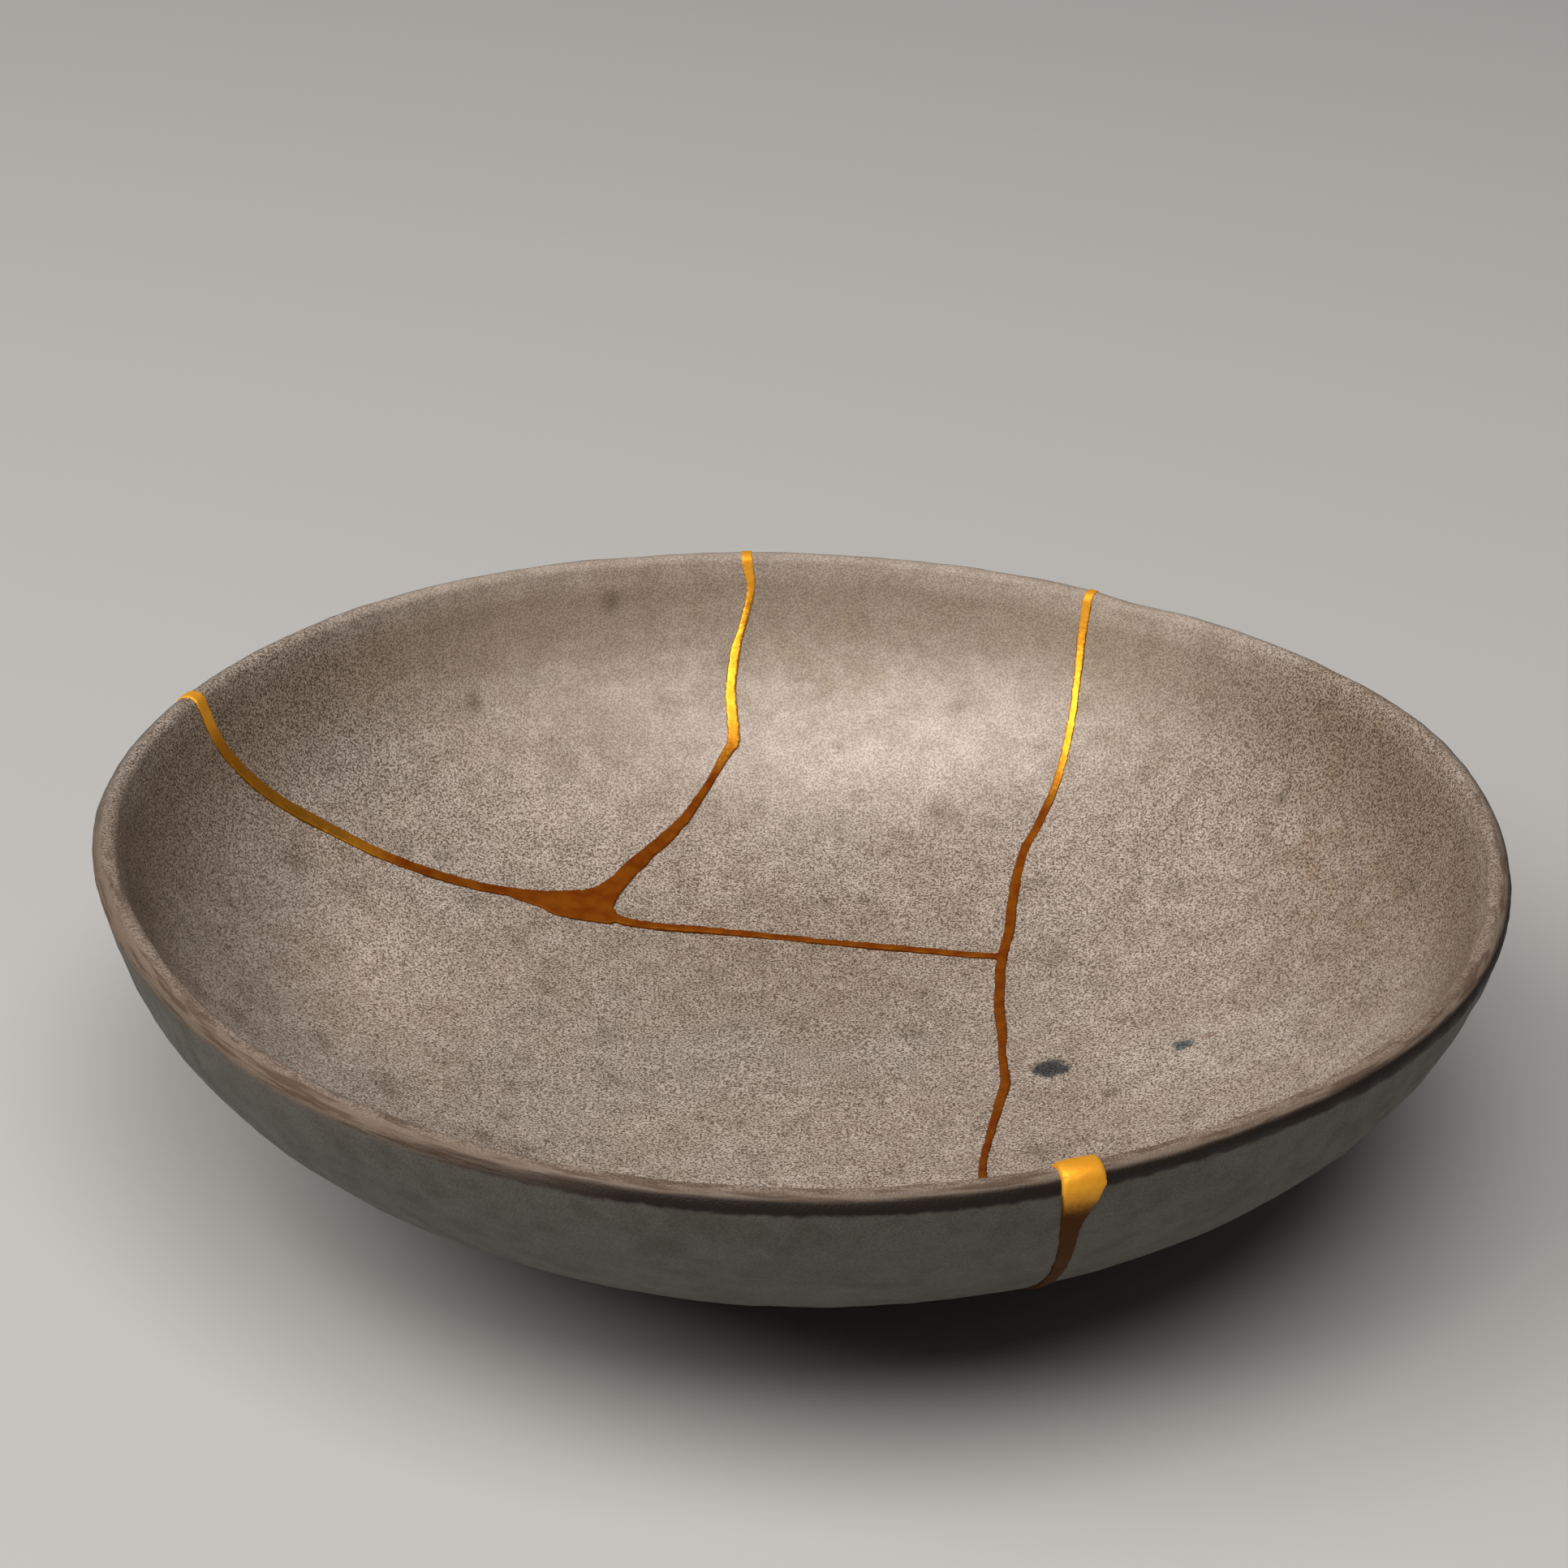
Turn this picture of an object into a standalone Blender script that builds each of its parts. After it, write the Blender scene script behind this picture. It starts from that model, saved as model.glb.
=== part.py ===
"""Stoneware bowl mended with gold lacquer: the four shards of one thrown bowl, and the gold seams.

Metres, +Z up. The bowl stands on the table at z = 0 with the middle of its foot ring at the origin.
Bearings are in degrees, turned from +X towards +Y, so -90 is the side nearest the viewer.
A reach is a distance from the middle, as a share of the mouth's radius.
"""

import math

import bmesh
import bpy
from mathutils import Vector

# The thrown bowl
MOUTH_RADIUS = 0.1155  # inner edge of the rim
INNER_DEPTH = 0.049  # from the rim's edge down to the middle of the floor
WALL_ROUNDNESS = 2.5  # 2 gives an elliptical hollow, more gives a fuller belly
EQUATOR_RISE = 0.022  # how far above the rim the wall's curve would stand upright
RIM_WALL = 0.0045  # thickness of the wall at the rim
FLOOR_WALL = 0.0065  # thickness of the floor in the middle
WALL_THINNING = 3.0  # how late the wall thins on its way from floor to rim
LIP_HEIGHT = 0.002  # rounded lip on top of the wall

# The foot ring
FOOT_RADIUS = 0.034  # outside of the ring, where it stands
FOOT_WIDTH = 0.006  # width of the ring
FOOT_RECESS = 0.004  # height of the underside above the table, inside the ring
FOOT_FLARE = 0.0012  # how far the ring spreads where it meets the belly
FOOT_CHAMFER = 0.0007  # softened edges of the ring

# The hand-thrown rim isn't quite round or level: lobes around it, size, bearing of a high point
RADIAL_WAVES = ((3, 0.00077, 22.0), (4, 0.00014, -9.0), (5, 0.00042, 28.0))
HEIGHT_WAVES = ((2, 0.00034, -12.0), (4, 0.00032, 31.0), (5, 0.00014, 19.0), (6, 0.00032, 14.0))
WAVE_REACH = 0.018  # the waves die out this far below the rim
DIP_BEARING = 57.0  # a small dip in the rim, beside the right rear seam
DIP_DEPTH = 0.0006
DIP_SPREAD = 4.0  # degrees

# The gold
SEAM_GAP = 0.0003  # between the gold and each shard
GOLD_PROUD = 0.0004  # the gold stands this far out of the wall, inside and outside
GOLD_LIFT = 0.0004  # the gold stays this far off the table, should a seam reach the foot

# The cracks: reach, bearing, width of the gold in millimetres. Each runs from the rim inwards.
LEFT_SEAM = (
    (1.0, 159.6, 3.2), (0.967, 159.3, 3.1), (0.915, 157.2, 3.0), (0.849, 153.6, 3.0),
    (0.752, 148.9, 2.7), (0.659, 142.8, 2.5), (0.605, 137.0, 2.5), (0.570, 131.5, 2.5),
)
BACK_SEAM = (
    (1.0, 96.2, 2.4), (0.983, 95.9, 1.8), (0.953, 96.9, 1.6), (0.928, 97.7, 2.1),
    (0.881, 98.4, 2.3), (0.816, 98.5, 2.6), (0.796, 99.4, 2.2), (0.741, 102.4, 1.7),
    (0.679, 106.7, 2.2), (0.635, 111.5, 3.0), (0.600, 117.0, 3.0),
)
FLOOR_SEAM = (
    (0.520, 128.5, 2.4), (0.484, 126.0, 2.4), (0.453, 120.9, 2.2), (0.420, 111.3, 2.0),
    (0.390, 97.8, 1.8), (0.378, 82.6, 1.8), (0.390, 67.5, 1.8), (0.421, 53.3, 1.8),
    (0.456, 44.5, 1.8),
)
FRONT_SEAM = (
    (1.0, 61.8, 2.1), (0.976, 61.6, 2.0), (0.935, 60.8, 1.7), (0.882, 59.7, 1.8),
    (0.809, 58.4, 1.8), (0.724, 57.5, 1.9), (0.677, 57.1, 2.0), (0.621, 55.2, 2.1),
    (0.566, 52.4, 2.1), (0.510, 48.4, 2.1), (0.458, 44.5, 2.1), (0.414, 39.1, 2.1),
    (0.367, 30.1, 2.1), (0.341, 20.3, 2.0), (0.323, 9.6, 1.6), (0.319, 1.2, 1.7),
    (0.322, -7.1, 2.0), (0.324, -17.3, 2.0), (0.339, -28.6, 1.7), (0.367, -38.7, 1.5),
    (0.405, -46.8, 1.5), (0.463, -53.5, 1.6), (0.520, -57.8, 1.7), (0.598, -61.5, 1.8),
    (0.685, -64.3, 2.0), (0.788, -66.5, 2.2), (0.880, -67.9, 2.5), (0.935, -68.8, 2.8),
    (0.975, -69.5, 3.6), (1.0, -69.4, 6.4),
)
# The chip filled with gold where three cracks meet: reach, bearing
CHIP_OUTLINE = (
    (0.640, 140.5), (0.612, 137.2), (0.594, 133.2), (0.575, 128.5), (0.572, 125.7),
    (0.584, 122.1), (0.609, 118.2), (0.635, 113.4), (0.619, 112.6), (0.593, 115.0),
    (0.566, 119.0), (0.540, 122.8), (0.517, 125.6), (0.487, 126.0), (0.484, 128.8),
    (0.514, 133.3), (0.543, 136.4), (0.568, 137.2), (0.605, 139.6),
)
# The shards: reach and bearing of a point well inside each, and its colour
SHARDS = {
    "front_shard": (0.75, -125.0, (0.41, 0.36, 0.31)),
    "left_shard": (0.80, 125.0, (0.40, 0.35, 0.30)),
    "rear_shard": (0.75, 78.0, (0.38, 0.34, 0.28)),
    "right_shard": (0.75, 5.0, (0.39, 0.34, 0.28)),
}
CLAY_ROUGHNESS = 0.85
GOLD_COLOUR = (0.86, 0.55, 0.12)
GOLD_ROUGHNESS = 0.35

# How finely the curves are faceted
TURNS = 72  # facets around the bowl
OUTER_STEPS = 11
INNER_STEPS = 11
LIP_STEPS = 5
SEAM_STEPS = 2  # facets of a seam between two of its points

# The blades that cut the cracks
BLADE_SPARE = 0.004  # how far a blade stands out beyond the clay: hollow, table and lip
BLADE_STAGGER = 0.0005  # each blade stands out a little further than the last

# Worked out from the values above
FLOOR_TOP = FOOT_RECESS + FLOOR_WALL
CURVE_DEPTH = INNER_DEPTH + EQUATOR_RISE
RIM_HEIGHT = FLOOR_TOP + INNER_DEPTH
BLADE_TOP = RIM_HEIGHT + LIP_HEIGHT + BLADE_SPARE
EQUATOR_RADIUS = MOUTH_RADIUS / (
    1 - (EQUATOR_RISE / CURVE_DEPTH) ** WALL_ROUNDNESS
) ** (1 / WALL_ROUNDNESS)

MILLIMETRE = 0.001
WELD = 0.000001
FLAT = math.radians(0.1)  # faces that meet at less than this are one face
CRISP = math.radians(32)  # edges sharper than this aren't smoothed over


def clear_scene():
    for thing in list(bpy.data.objects):
        bpy.data.objects.remove(thing, do_unlink=True)


def inner_height(radius):
    """Height of the hollow's surface above the table."""
    across = radius / EQUATOR_RADIUS
    fall = (1 - across**WALL_ROUNDNESS) ** (1 / WALL_ROUNDNESS)
    return FLOOR_TOP + CURVE_DEPTH * (1 - fall)


def lean(radius):
    """Angle of the hollow's surface from the level."""
    across = radius / EQUATOR_RADIUS
    rest = 1 - across**WALL_ROUNDNESS
    slope = across ** (WALL_ROUNDNESS - 1) * rest ** (1 / WALL_ROUNDNESS - 1)
    return math.atan(slope * CURVE_DEPTH / EQUATOR_RADIUS)


def wall_at(radius):
    """Thickness of the wall."""
    reach = min(radius / MOUTH_RADIUS, 1.0)
    return RIM_WALL + (FLOOR_WALL - RIM_WALL) * (1 - reach**WALL_THINNING)


def section_point(radius, depth):
    """Radius and height of a point at a depth into the wall, square to the hollow's surface."""
    angle = lean(radius)
    return radius + depth * math.sin(angle), inner_height(radius) - depth * math.cos(angle)


def radius_at_height(height):
    """Radius of the hollow's surface at a height."""
    fall = 1 - (height - FLOOR_TOP) / CURVE_DEPTH
    return EQUATOR_RADIUS * (1 - fall**WALL_ROUNDNESS) ** (1 / WALL_ROUNDNESS)


def radii_between(start, end, steps):
    """Radii spaced evenly by the turn of the curve, from start to end."""
    first, last = (
        math.asin((radius / EQUATOR_RADIUS) ** (WALL_ROUNDNESS / 2)) for radius in (start, end)
    )
    turns = [first + (last - first) * step / steps for step in range(steps + 1)]
    return [EQUATOR_RADIUS * math.sin(turn) ** (2 / WALL_ROUNDNESS) for turn in turns]


def radius_under_belly(outer_radius, proud):
    """Radius in the hollow that lies square above a radius on the belly."""
    low, high = 0.0, MOUTH_RADIUS
    for _ in range(40):
        middle = (low + high) / 2
        if section_point(middle, wall_at(middle) + proud)[0] < outer_radius:
            low = middle
        else:
            high = middle
    return high


def bowl_section(proud=0.0, lift=0.0):
    """Half section of the bowl, from under its middle round the rim to the floor's middle."""
    ring_inside = FOOT_RADIUS - FOOT_WIDTH
    underside = FOOT_RECESS - proud
    points = [
        (0.0, underside),
        (ring_inside, underside),
        (ring_inside + FOOT_CHAMFER, lift),
        (FOOT_RADIUS - FOOT_CHAMFER, lift),
        (FOOT_RADIUS, lift + FOOT_CHAMFER),
    ]
    belly_start = radius_under_belly(FOOT_RADIUS + FOOT_FLARE, proud)
    for radius in radii_between(belly_start, MOUTH_RADIUS, OUTER_STEPS):
        points.append(section_point(radius, wall_at(radius) + proud))

    rim_lean = lean(MOUTH_RADIUS)
    middle = section_point(MOUTH_RADIUS, RIM_WALL / 2)
    half_wall = RIM_WALL / 2 + proud
    rise = LIP_HEIGHT + proud
    for step in range(1, LIP_STEPS):
        turn = math.pi * step / LIP_STEPS
        out, up = half_wall * math.cos(turn), rise * math.sin(turn)
        points.append((
            middle[0] + out * math.sin(rim_lean) + up * math.cos(rim_lean),
            middle[1] - out * math.cos(rim_lean) + up * math.sin(rim_lean),
        ))

    for radius in reversed(radii_between(0.0, MOUTH_RADIUS, INNER_STEPS)):
        points.append(section_point(radius, -proud))
    return points


def wave(waves, bearing):
    return sum(
        size * math.cos(lobes * (bearing - math.radians(peak))) for lobes, size, peak in waves
    )


def settled(point):
    """The place of a point once the rim has its hand-thrown waves."""
    level = (point.z - RIM_HEIGHT + WAVE_REACH) / WAVE_REACH
    level = min(max(level, 0.0), 1.0)
    share = level * level * (3 - 2 * level)
    bearing = math.atan2(point.y, point.x)
    radius = math.hypot(point.x, point.y)
    if share == 0.0 or radius == 0.0:
        return point
    from_dip = math.degrees(bearing) - DIP_BEARING
    dip = DIP_DEPTH * math.exp(-((from_dip / DIP_SPREAD) ** 2))
    stretch = 1 + share * wave(RADIAL_WAVES, bearing) / radius
    rise = share * (wave(HEIGHT_WAVES, bearing) - dip)
    return Vector((point.x * stretch, point.y * stretch, point.z + rise))


def wall_point(radius, bearing, depth):
    """Point at a depth into the wall, in degrees of bearing, before the rim's waves."""
    out, height = section_point(radius, depth)
    turn = math.radians(bearing)
    return Vector((out * math.cos(turn), out * math.sin(turn), height))


def object_from(name, mesh_data, cutter=False):
    """New object from a bmesh, with triangles only, facing out, and its rim waves in place."""
    bmesh.ops.remove_doubles(mesh_data, verts=mesh_data.verts, dist=WELD)
    bmesh.ops.triangulate(mesh_data, faces=mesh_data.faces)
    bmesh.ops.recalc_face_normals(mesh_data, faces=mesh_data.faces)
    for vertex in mesh_data.verts:
        vertex.co = settled(vertex.co)
    mesh = bpy.data.meshes.new(name)
    mesh_data.to_mesh(mesh)
    mesh_data.free()
    thing = bpy.data.objects.new(name, mesh)
    bpy.context.scene.collection.objects.link(thing)
    if cutter:
        thing.hide_render = True
        thing.display_type = "WIRE"
    return thing


def turned_bowl(name, proud=0.0, lift=0.0):
    """The whole bowl, its half section spun about the upright axis."""
    turned = bmesh.new()
    section = bowl_section(proud, lift)
    corners = [turned.verts.new((radius, 0.0, height)) for radius, height in section]
    edges = [turned.edges.new(pair) for pair in zip(corners, corners[1:])]
    bmesh.ops.spin(
        turned, geom=corners + edges, cent=(0, 0, 0), axis=(0, 0, 1), angle=math.tau, steps=TURNS
    )
    return object_from(name, turned, cutter=True)


def smooth_path(points, steps):
    """Points along a smooth curve through the given ones."""
    ends = [points[0], *points, points[-1]]
    path = []
    for first, second, third, fourth in zip(ends, ends[1:], ends[2:], ends[3:]):
        for step in range(steps):
            share = step / steps
            path.append(tuple(
                b + share * (c - a) / 2
                + share**2 * (a - 2.5 * b + 2 * c - d / 2)
                + share**3 * (1.5 * b - 1.5 * c + (d - a) / 2)
                for a, b, c, d in zip(first, second, third, fourth)
            ))
    path.append(points[-1])
    return path


def seam_route(seam):
    """Radius, bearing and width along a seam, run on above the rim where it ends there."""
    route = [
        (reach * MOUTH_RADIUS, bearing, width * MILLIMETRE)
        for reach, bearing, width in smooth_path(seam, SEAM_STEPS)
    ]
    above = radius_at_height(BLADE_TOP)
    if seam[0][0] == 1.0:
        route.insert(0, (above, *route[0][1:]))
    if seam[-1][0] == 1.0:
        route.append((above, *route[-1][1:]))
    return route


def blade_ends(radius, bearing, extra):
    """Where a blade ends in the hollow and, past the wall and the foot, outside the bowl."""
    spare = BLADE_SPARE + extra
    inside = wall_point(radius, bearing, -spare)
    return inside, wall_point(radius, bearing, wall_at(radius) + FOOT_RECESS + spare)


def seam_blade(name, seam, clearance, extra):
    """Closed strip that follows a seam and stands right through the wall."""
    route = seam_route(seam)
    blade = bmesh.new()
    rings = []
    for index, (radius, bearing, width) in enumerate(route):
        before, after = route[max(index - 1, 0)], route[min(index + 1, len(route) - 1)]
        along = wall_point(*after[:2], 0.0) - wall_point(*before[:2], 0.0)
        top, bottom = blade_ends(radius, bearing, extra)
        side = along.cross(bottom - top).normalized() * (width / 2 + clearance)
        spots = (top - side, top + side, bottom + side, bottom - side)
        rings.append([blade.verts.new(spot) for spot in spots])
    for ring, following in zip(rings, rings[1:]):
        for corner in range(4):
            after = (corner + 1) % 4
            blade.faces.new((ring[corner], ring[after], following[after], following[corner]))
    blade.faces.new(rings[0])
    blade.faces.new(rings[-1])
    return object_from(name, blade, cutter=True)


def plan_point(reach, bearing):
    turn = math.radians(bearing)
    return Vector((math.cos(turn), math.sin(turn))) * reach * MOUTH_RADIUS


def grown_outline(outline, margin):
    """Closed outline in the plan, each corner moved outwards by the margin."""
    corners = [plan_point(reach, bearing) for reach, bearing in outline]
    area = sum(a.x * b.y - b.x * a.y for a, b in zip(corners, corners[1:] + corners[:1]))
    turn = 1.0 if area > 0 else -1.0
    grown = []
    for index, corner in enumerate(corners):
        arriving = (corner - corners[index - 1]).normalized()
        leaving = (corners[(index + 1) % len(corners)] - corner).normalized()
        along = (arriving + leaving).normalized()
        grown.append(corner + Vector((along.y, -along.x)) * turn * margin)
    return grown


def chip_blade(name, clearance, extra):
    """Closed plug with the outline of the missing chip, standing right through the wall."""
    blade = bmesh.new()
    top, bottom = [], []
    for corner in grown_outline(CHIP_OUTLINE, clearance):
        radius, bearing = corner.length, math.degrees(math.atan2(corner.y, corner.x))
        above, below = blade_ends(radius, bearing, extra)
        top.append(blade.verts.new(above))
        bottom.append(blade.verts.new(below))
    for index in range(len(top)):
        after = (index + 1) % len(top)
        blade.faces.new((top[index], top[after], bottom[after], bottom[index]))
    blade.faces.new(top)
    blade.faces.new(bottom)
    return object_from(name, blade, cutter=True)


def add_boolean(thing, other, operation):
    cut = thing.modifiers.new(other.name, "BOOLEAN")
    cut.operation = operation
    cut.solver = "EXACT"
    cut.object = other


def seam_network(name, clearance):
    """All the seams and the chip as one closed cutter."""
    network = seam_blade(name, FRONT_SEAM, clearance, 0.0)
    others = (("left", LEFT_SEAM), ("back", BACK_SEAM), ("floor", FLOOR_SEAM))
    for index, (label, seam) in enumerate(others, start=1):
        blade = seam_blade(f"{name}_{label}", seam, clearance, index * BLADE_STAGGER)
        add_boolean(network, blade, "UNION")
        if label == "left":
            chip = chip_blade(f"{name}_chip", clearance, (len(others) + 1) * BLADE_STAGGER)
            add_boolean(network, chip, "UNION")
    return network


def carved(thing):
    """What the object's cuts leave, in as few triangles as its faces need."""
    graph = bpy.context.evaluated_depsgraph_get()
    rest = bmesh.new()
    rest.from_mesh(bpy.data.meshes.new_from_object(thing.evaluated_get(graph)))
    bmesh.ops.dissolve_limit(rest, angle_limit=FLAT, verts=rest.verts, edges=rest.edges)
    bmesh.ops.triangulate(rest, faces=rest.faces)
    return rest


def islands(mesh_data):
    """Sets of faces that hang together."""
    left = set(mesh_data.faces)
    found = []
    while left:
        waiting = [left.pop()]
        island = set(waiting)
        while waiting:
            for edge in waiting.pop().edges:
                for neighbour in edge.link_faces:
                    if neighbour in left:
                        left.remove(neighbour)
                        island.add(neighbour)
                        waiting.append(neighbour)
        found.append(island)
    return found


def add_piece(name, mesh_data, material):
    """New object for a finished piece, smooth where it is round and crisp at its breaks."""
    mesh = bpy.data.meshes.new(name)
    mesh_data.to_mesh(mesh)
    mesh_data.free()
    mesh.materials.append(material)
    mesh.shade_smooth()
    mesh.set_sharp_from_angle(angle=CRISP)
    bpy.context.scene.collection.objects.link(bpy.data.objects.new(name, mesh))


def make_material(name, colour, roughness, metallic):
    material = bpy.data.materials.new(name)
    material.use_nodes = True
    shader = material.node_tree.nodes["Principled BSDF"]
    shader.inputs["Base Color"].default_value = (*colour, 1.0)
    shader.inputs["Roughness"].default_value = roughness
    shader.inputs["Metallic"].default_value = metallic
    return material


def make_shards():
    """The four shards: the bowl cut along its cracks, one object for each piece left."""
    bowl = turned_bowl("uncut_bowl")
    add_boolean(bowl, seam_network("crack_cutter", SEAM_GAP), "DIFFERENCE")
    pieces = carved(bowl)
    found = islands(pieces)
    for name, (reach, bearing, colour) in SHARDS.items():
        radius = reach * MOUTH_RADIUS
        mark = wall_point(radius, bearing, wall_at(radius) / 2)
        nearest = min(
            found,
            key=lambda island: min((face.calc_center_median() - mark).length for face in island),
        )
        kept = {face.index for face in nearest}
        shard = pieces.copy()
        spare = [face for face in shard.faces if face.index not in kept]
        bmesh.ops.delete(shard, geom=spare, context="FACES")
        add_piece(name, shard, make_material(f"{name}_stoneware", colour, CLAY_ROUGHNESS, 0.0))
    pieces.free()


def make_gold():
    """The gold web: a slightly swollen bowl, kept only where the seams are."""
    swollen = turned_bowl("swollen_bowl", GOLD_PROUD, GOLD_LIFT)
    add_boolean(swollen, seam_network("gold_cutter", 0.0), "INTERSECT")
    add_piece(
        "gold_seam", carved(swollen), make_material("gold_lacquer", GOLD_COLOUR, GOLD_ROUGHNESS, 1.0)
    )


def main():
    clear_scene()
    make_shards()
    make_gold()


main()
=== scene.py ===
"""Looks of the kintsugi bowl: four shards of speckled stoneware and the gold lacquer that joins them.

Metres, +Z up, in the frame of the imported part. The bowl stands at z = 0 with its foot round the origin.
Bearings are in degrees, turned from +X towards +Y, so -90 is the side nearest the viewer.
A reach is a distance from the middle, as a share of the mouth's radius.
"""

import math
import random

import bmesh
import bpy
import numpy as np
from mathutils import Matrix, Vector


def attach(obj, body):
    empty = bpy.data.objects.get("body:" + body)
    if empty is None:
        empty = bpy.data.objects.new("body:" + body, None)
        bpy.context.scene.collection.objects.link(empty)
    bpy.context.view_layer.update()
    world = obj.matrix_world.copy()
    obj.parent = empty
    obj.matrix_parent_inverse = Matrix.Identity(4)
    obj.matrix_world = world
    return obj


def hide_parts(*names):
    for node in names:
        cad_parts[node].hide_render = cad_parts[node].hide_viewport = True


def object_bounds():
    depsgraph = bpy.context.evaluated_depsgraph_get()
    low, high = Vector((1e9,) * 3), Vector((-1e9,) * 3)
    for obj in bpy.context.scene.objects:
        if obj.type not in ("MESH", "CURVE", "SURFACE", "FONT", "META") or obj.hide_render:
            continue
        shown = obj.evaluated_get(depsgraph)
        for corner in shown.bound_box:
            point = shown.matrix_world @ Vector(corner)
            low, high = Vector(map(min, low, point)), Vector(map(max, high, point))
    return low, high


bl_info = {
    "name": "Kintsugi Bowl",
    "version": (1, 0, 0),
    "blender": (4, 5, 0),
    "location": "3D View > Sidebar > Kintsugi",
    "description": "Models a mended stoneware bowl: its shards, its gold seams and a plain studio",
    "category": "Object",
}

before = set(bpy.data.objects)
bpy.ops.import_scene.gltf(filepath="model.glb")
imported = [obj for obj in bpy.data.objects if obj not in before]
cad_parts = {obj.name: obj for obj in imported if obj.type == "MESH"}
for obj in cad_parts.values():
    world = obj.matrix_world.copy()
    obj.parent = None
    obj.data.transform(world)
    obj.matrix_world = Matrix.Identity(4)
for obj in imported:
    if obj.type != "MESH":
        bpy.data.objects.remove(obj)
CAD_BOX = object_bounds()

BODY = "root"
MILLIMETRE = 0.001

# The thrown bowl, as in the part
MOUTH_RADIUS = 0.1155
INNER_DEPTH = 0.049
WALL_ROUNDNESS = 2.5
EQUATOR_RISE = 0.022
RIM_WALL = 0.0045
FLOOR_WALL = 0.0065
WALL_THINNING = 3.0
LIP_HEIGHT = 0.002

# The foot ring
FOOT_RADIUS = 0.034
FOOT_WIDTH = 0.006
FOOT_RECESS = 0.004
FOOT_FLARE = 0.0012
FOOT_EDGE = 0.0007  # rounding of the ring's edges
FOOT_HOLLOW = 0.0012  # rounding where the ring meets the underside

# The hand-thrown rim: lobes around it, size, bearing of a high point
RADIAL_WAVES = ((3, 0.00077, 22.0), (4, 0.00014, -9.0), (5, 0.00042, 28.0))
HEIGHT_WAVES = ((2, 0.00034, -12.0), (4, 0.00032, 31.0), (5, 0.00014, 19.0), (6, 0.00032, 14.0))
WAVE_REACH = 0.018
DIP_BEARING = 57.0
DIP_DEPTH = 0.0006
DIP_SPREAD = 4.0

# Worked out from the values above
FLOOR_TOP = FOOT_RECESS + FLOOR_WALL
CURVE_DEPTH = INNER_DEPTH + EQUATOR_RISE
RIM_HEIGHT = FLOOR_TOP + INNER_DEPTH
EQUATOR_RADIUS = MOUTH_RADIUS / (
    1 - (EQUATOR_RISE / CURVE_DEPTH) ** WALL_ROUNDNESS
) ** (1 / WALL_ROUNDNESS)

# The cracks: reach, bearing, width of the gold in millimetres. Each runs from the rim inwards.
LEFT_SEAM = (
    (1.0, 159.6, 3.2), (0.967, 159.3, 3.1), (0.915, 157.2, 3.0), (0.849, 153.6, 3.0),
    (0.752, 148.9, 2.7), (0.659, 142.8, 2.5), (0.605, 137.0, 2.5), (0.570, 131.5, 2.5),
)
BACK_SEAM = (
    (1.0, 96.2, 2.4), (0.983, 95.9, 1.8), (0.953, 96.9, 1.6), (0.928, 97.7, 2.1),
    (0.881, 98.4, 2.3), (0.816, 98.5, 2.6), (0.796, 99.4, 2.2), (0.741, 102.4, 1.7),
    (0.679, 106.7, 2.2), (0.635, 111.5, 3.0), (0.600, 117.0, 3.0),
)
FLOOR_SEAM = (
    (0.520, 128.5, 2.4), (0.484, 126.0, 2.4), (0.453, 120.9, 2.2), (0.420, 111.3, 2.0),
    (0.390, 97.8, 1.8), (0.378, 82.6, 1.8), (0.390, 67.5, 1.8), (0.421, 53.3, 1.8),
    (0.456, 44.5, 1.8),
)
FRONT_SEAM = (
    (1.0, 61.8, 2.1), (0.976, 61.6, 2.0), (0.935, 60.8, 1.7), (0.882, 59.7, 1.8),
    (0.809, 58.4, 1.8), (0.724, 57.5, 1.9), (0.677, 57.1, 2.0), (0.621, 55.2, 2.1),
    (0.566, 52.4, 2.1), (0.510, 48.4, 2.1), (0.458, 44.5, 2.1), (0.414, 39.1, 2.1),
    (0.367, 30.1, 2.1), (0.341, 20.3, 2.0), (0.323, 9.6, 1.6), (0.319, 1.2, 1.7),
    (0.322, -7.1, 2.0), (0.324, -17.3, 2.0), (0.339, -28.6, 1.7), (0.367, -38.7, 1.5),
    (0.405, -46.8, 1.5), (0.463, -53.5, 1.6), (0.520, -57.8, 1.7), (0.598, -61.5, 1.8),
    (0.685, -64.3, 2.0), (0.788, -66.5, 2.2), (0.880, -67.9, 2.5), (0.935, -68.8, 2.8),
    (0.975, -69.5, 3.6), (1.0, -69.4, 6.4),
)
SEAMS = {"front": FRONT_SEAM, "left": LEFT_SEAM, "back": BACK_SEAM, "floor": FLOOR_SEAM}
# The chip filled with gold where three cracks meet: reach, bearing
CHIP_OUTLINE = (
    (0.640, 140.5), (0.612, 137.2), (0.594, 133.2), (0.575, 128.5), (0.572, 125.7),
    (0.584, 122.1), (0.609, 118.2), (0.635, 113.4), (0.619, 112.6), (0.593, 115.0),
    (0.566, 119.0), (0.540, 122.8), (0.517, 125.6), (0.487, 126.0), (0.484, 128.8),
    (0.514, 133.3), (0.543, 136.4), (0.568, 137.2), (0.605, 139.6),
)
# The shards: reach and bearing of a point well inside each
SHARDS = {
    "front_shard": (0.75, -125.0),
    "left_shard": (0.80, 125.0),
    "rear_shard": (0.75, 78.0),
    "right_shard": (0.75, 5.0),
}
GOLD_NODE = "gold_seam"

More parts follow.
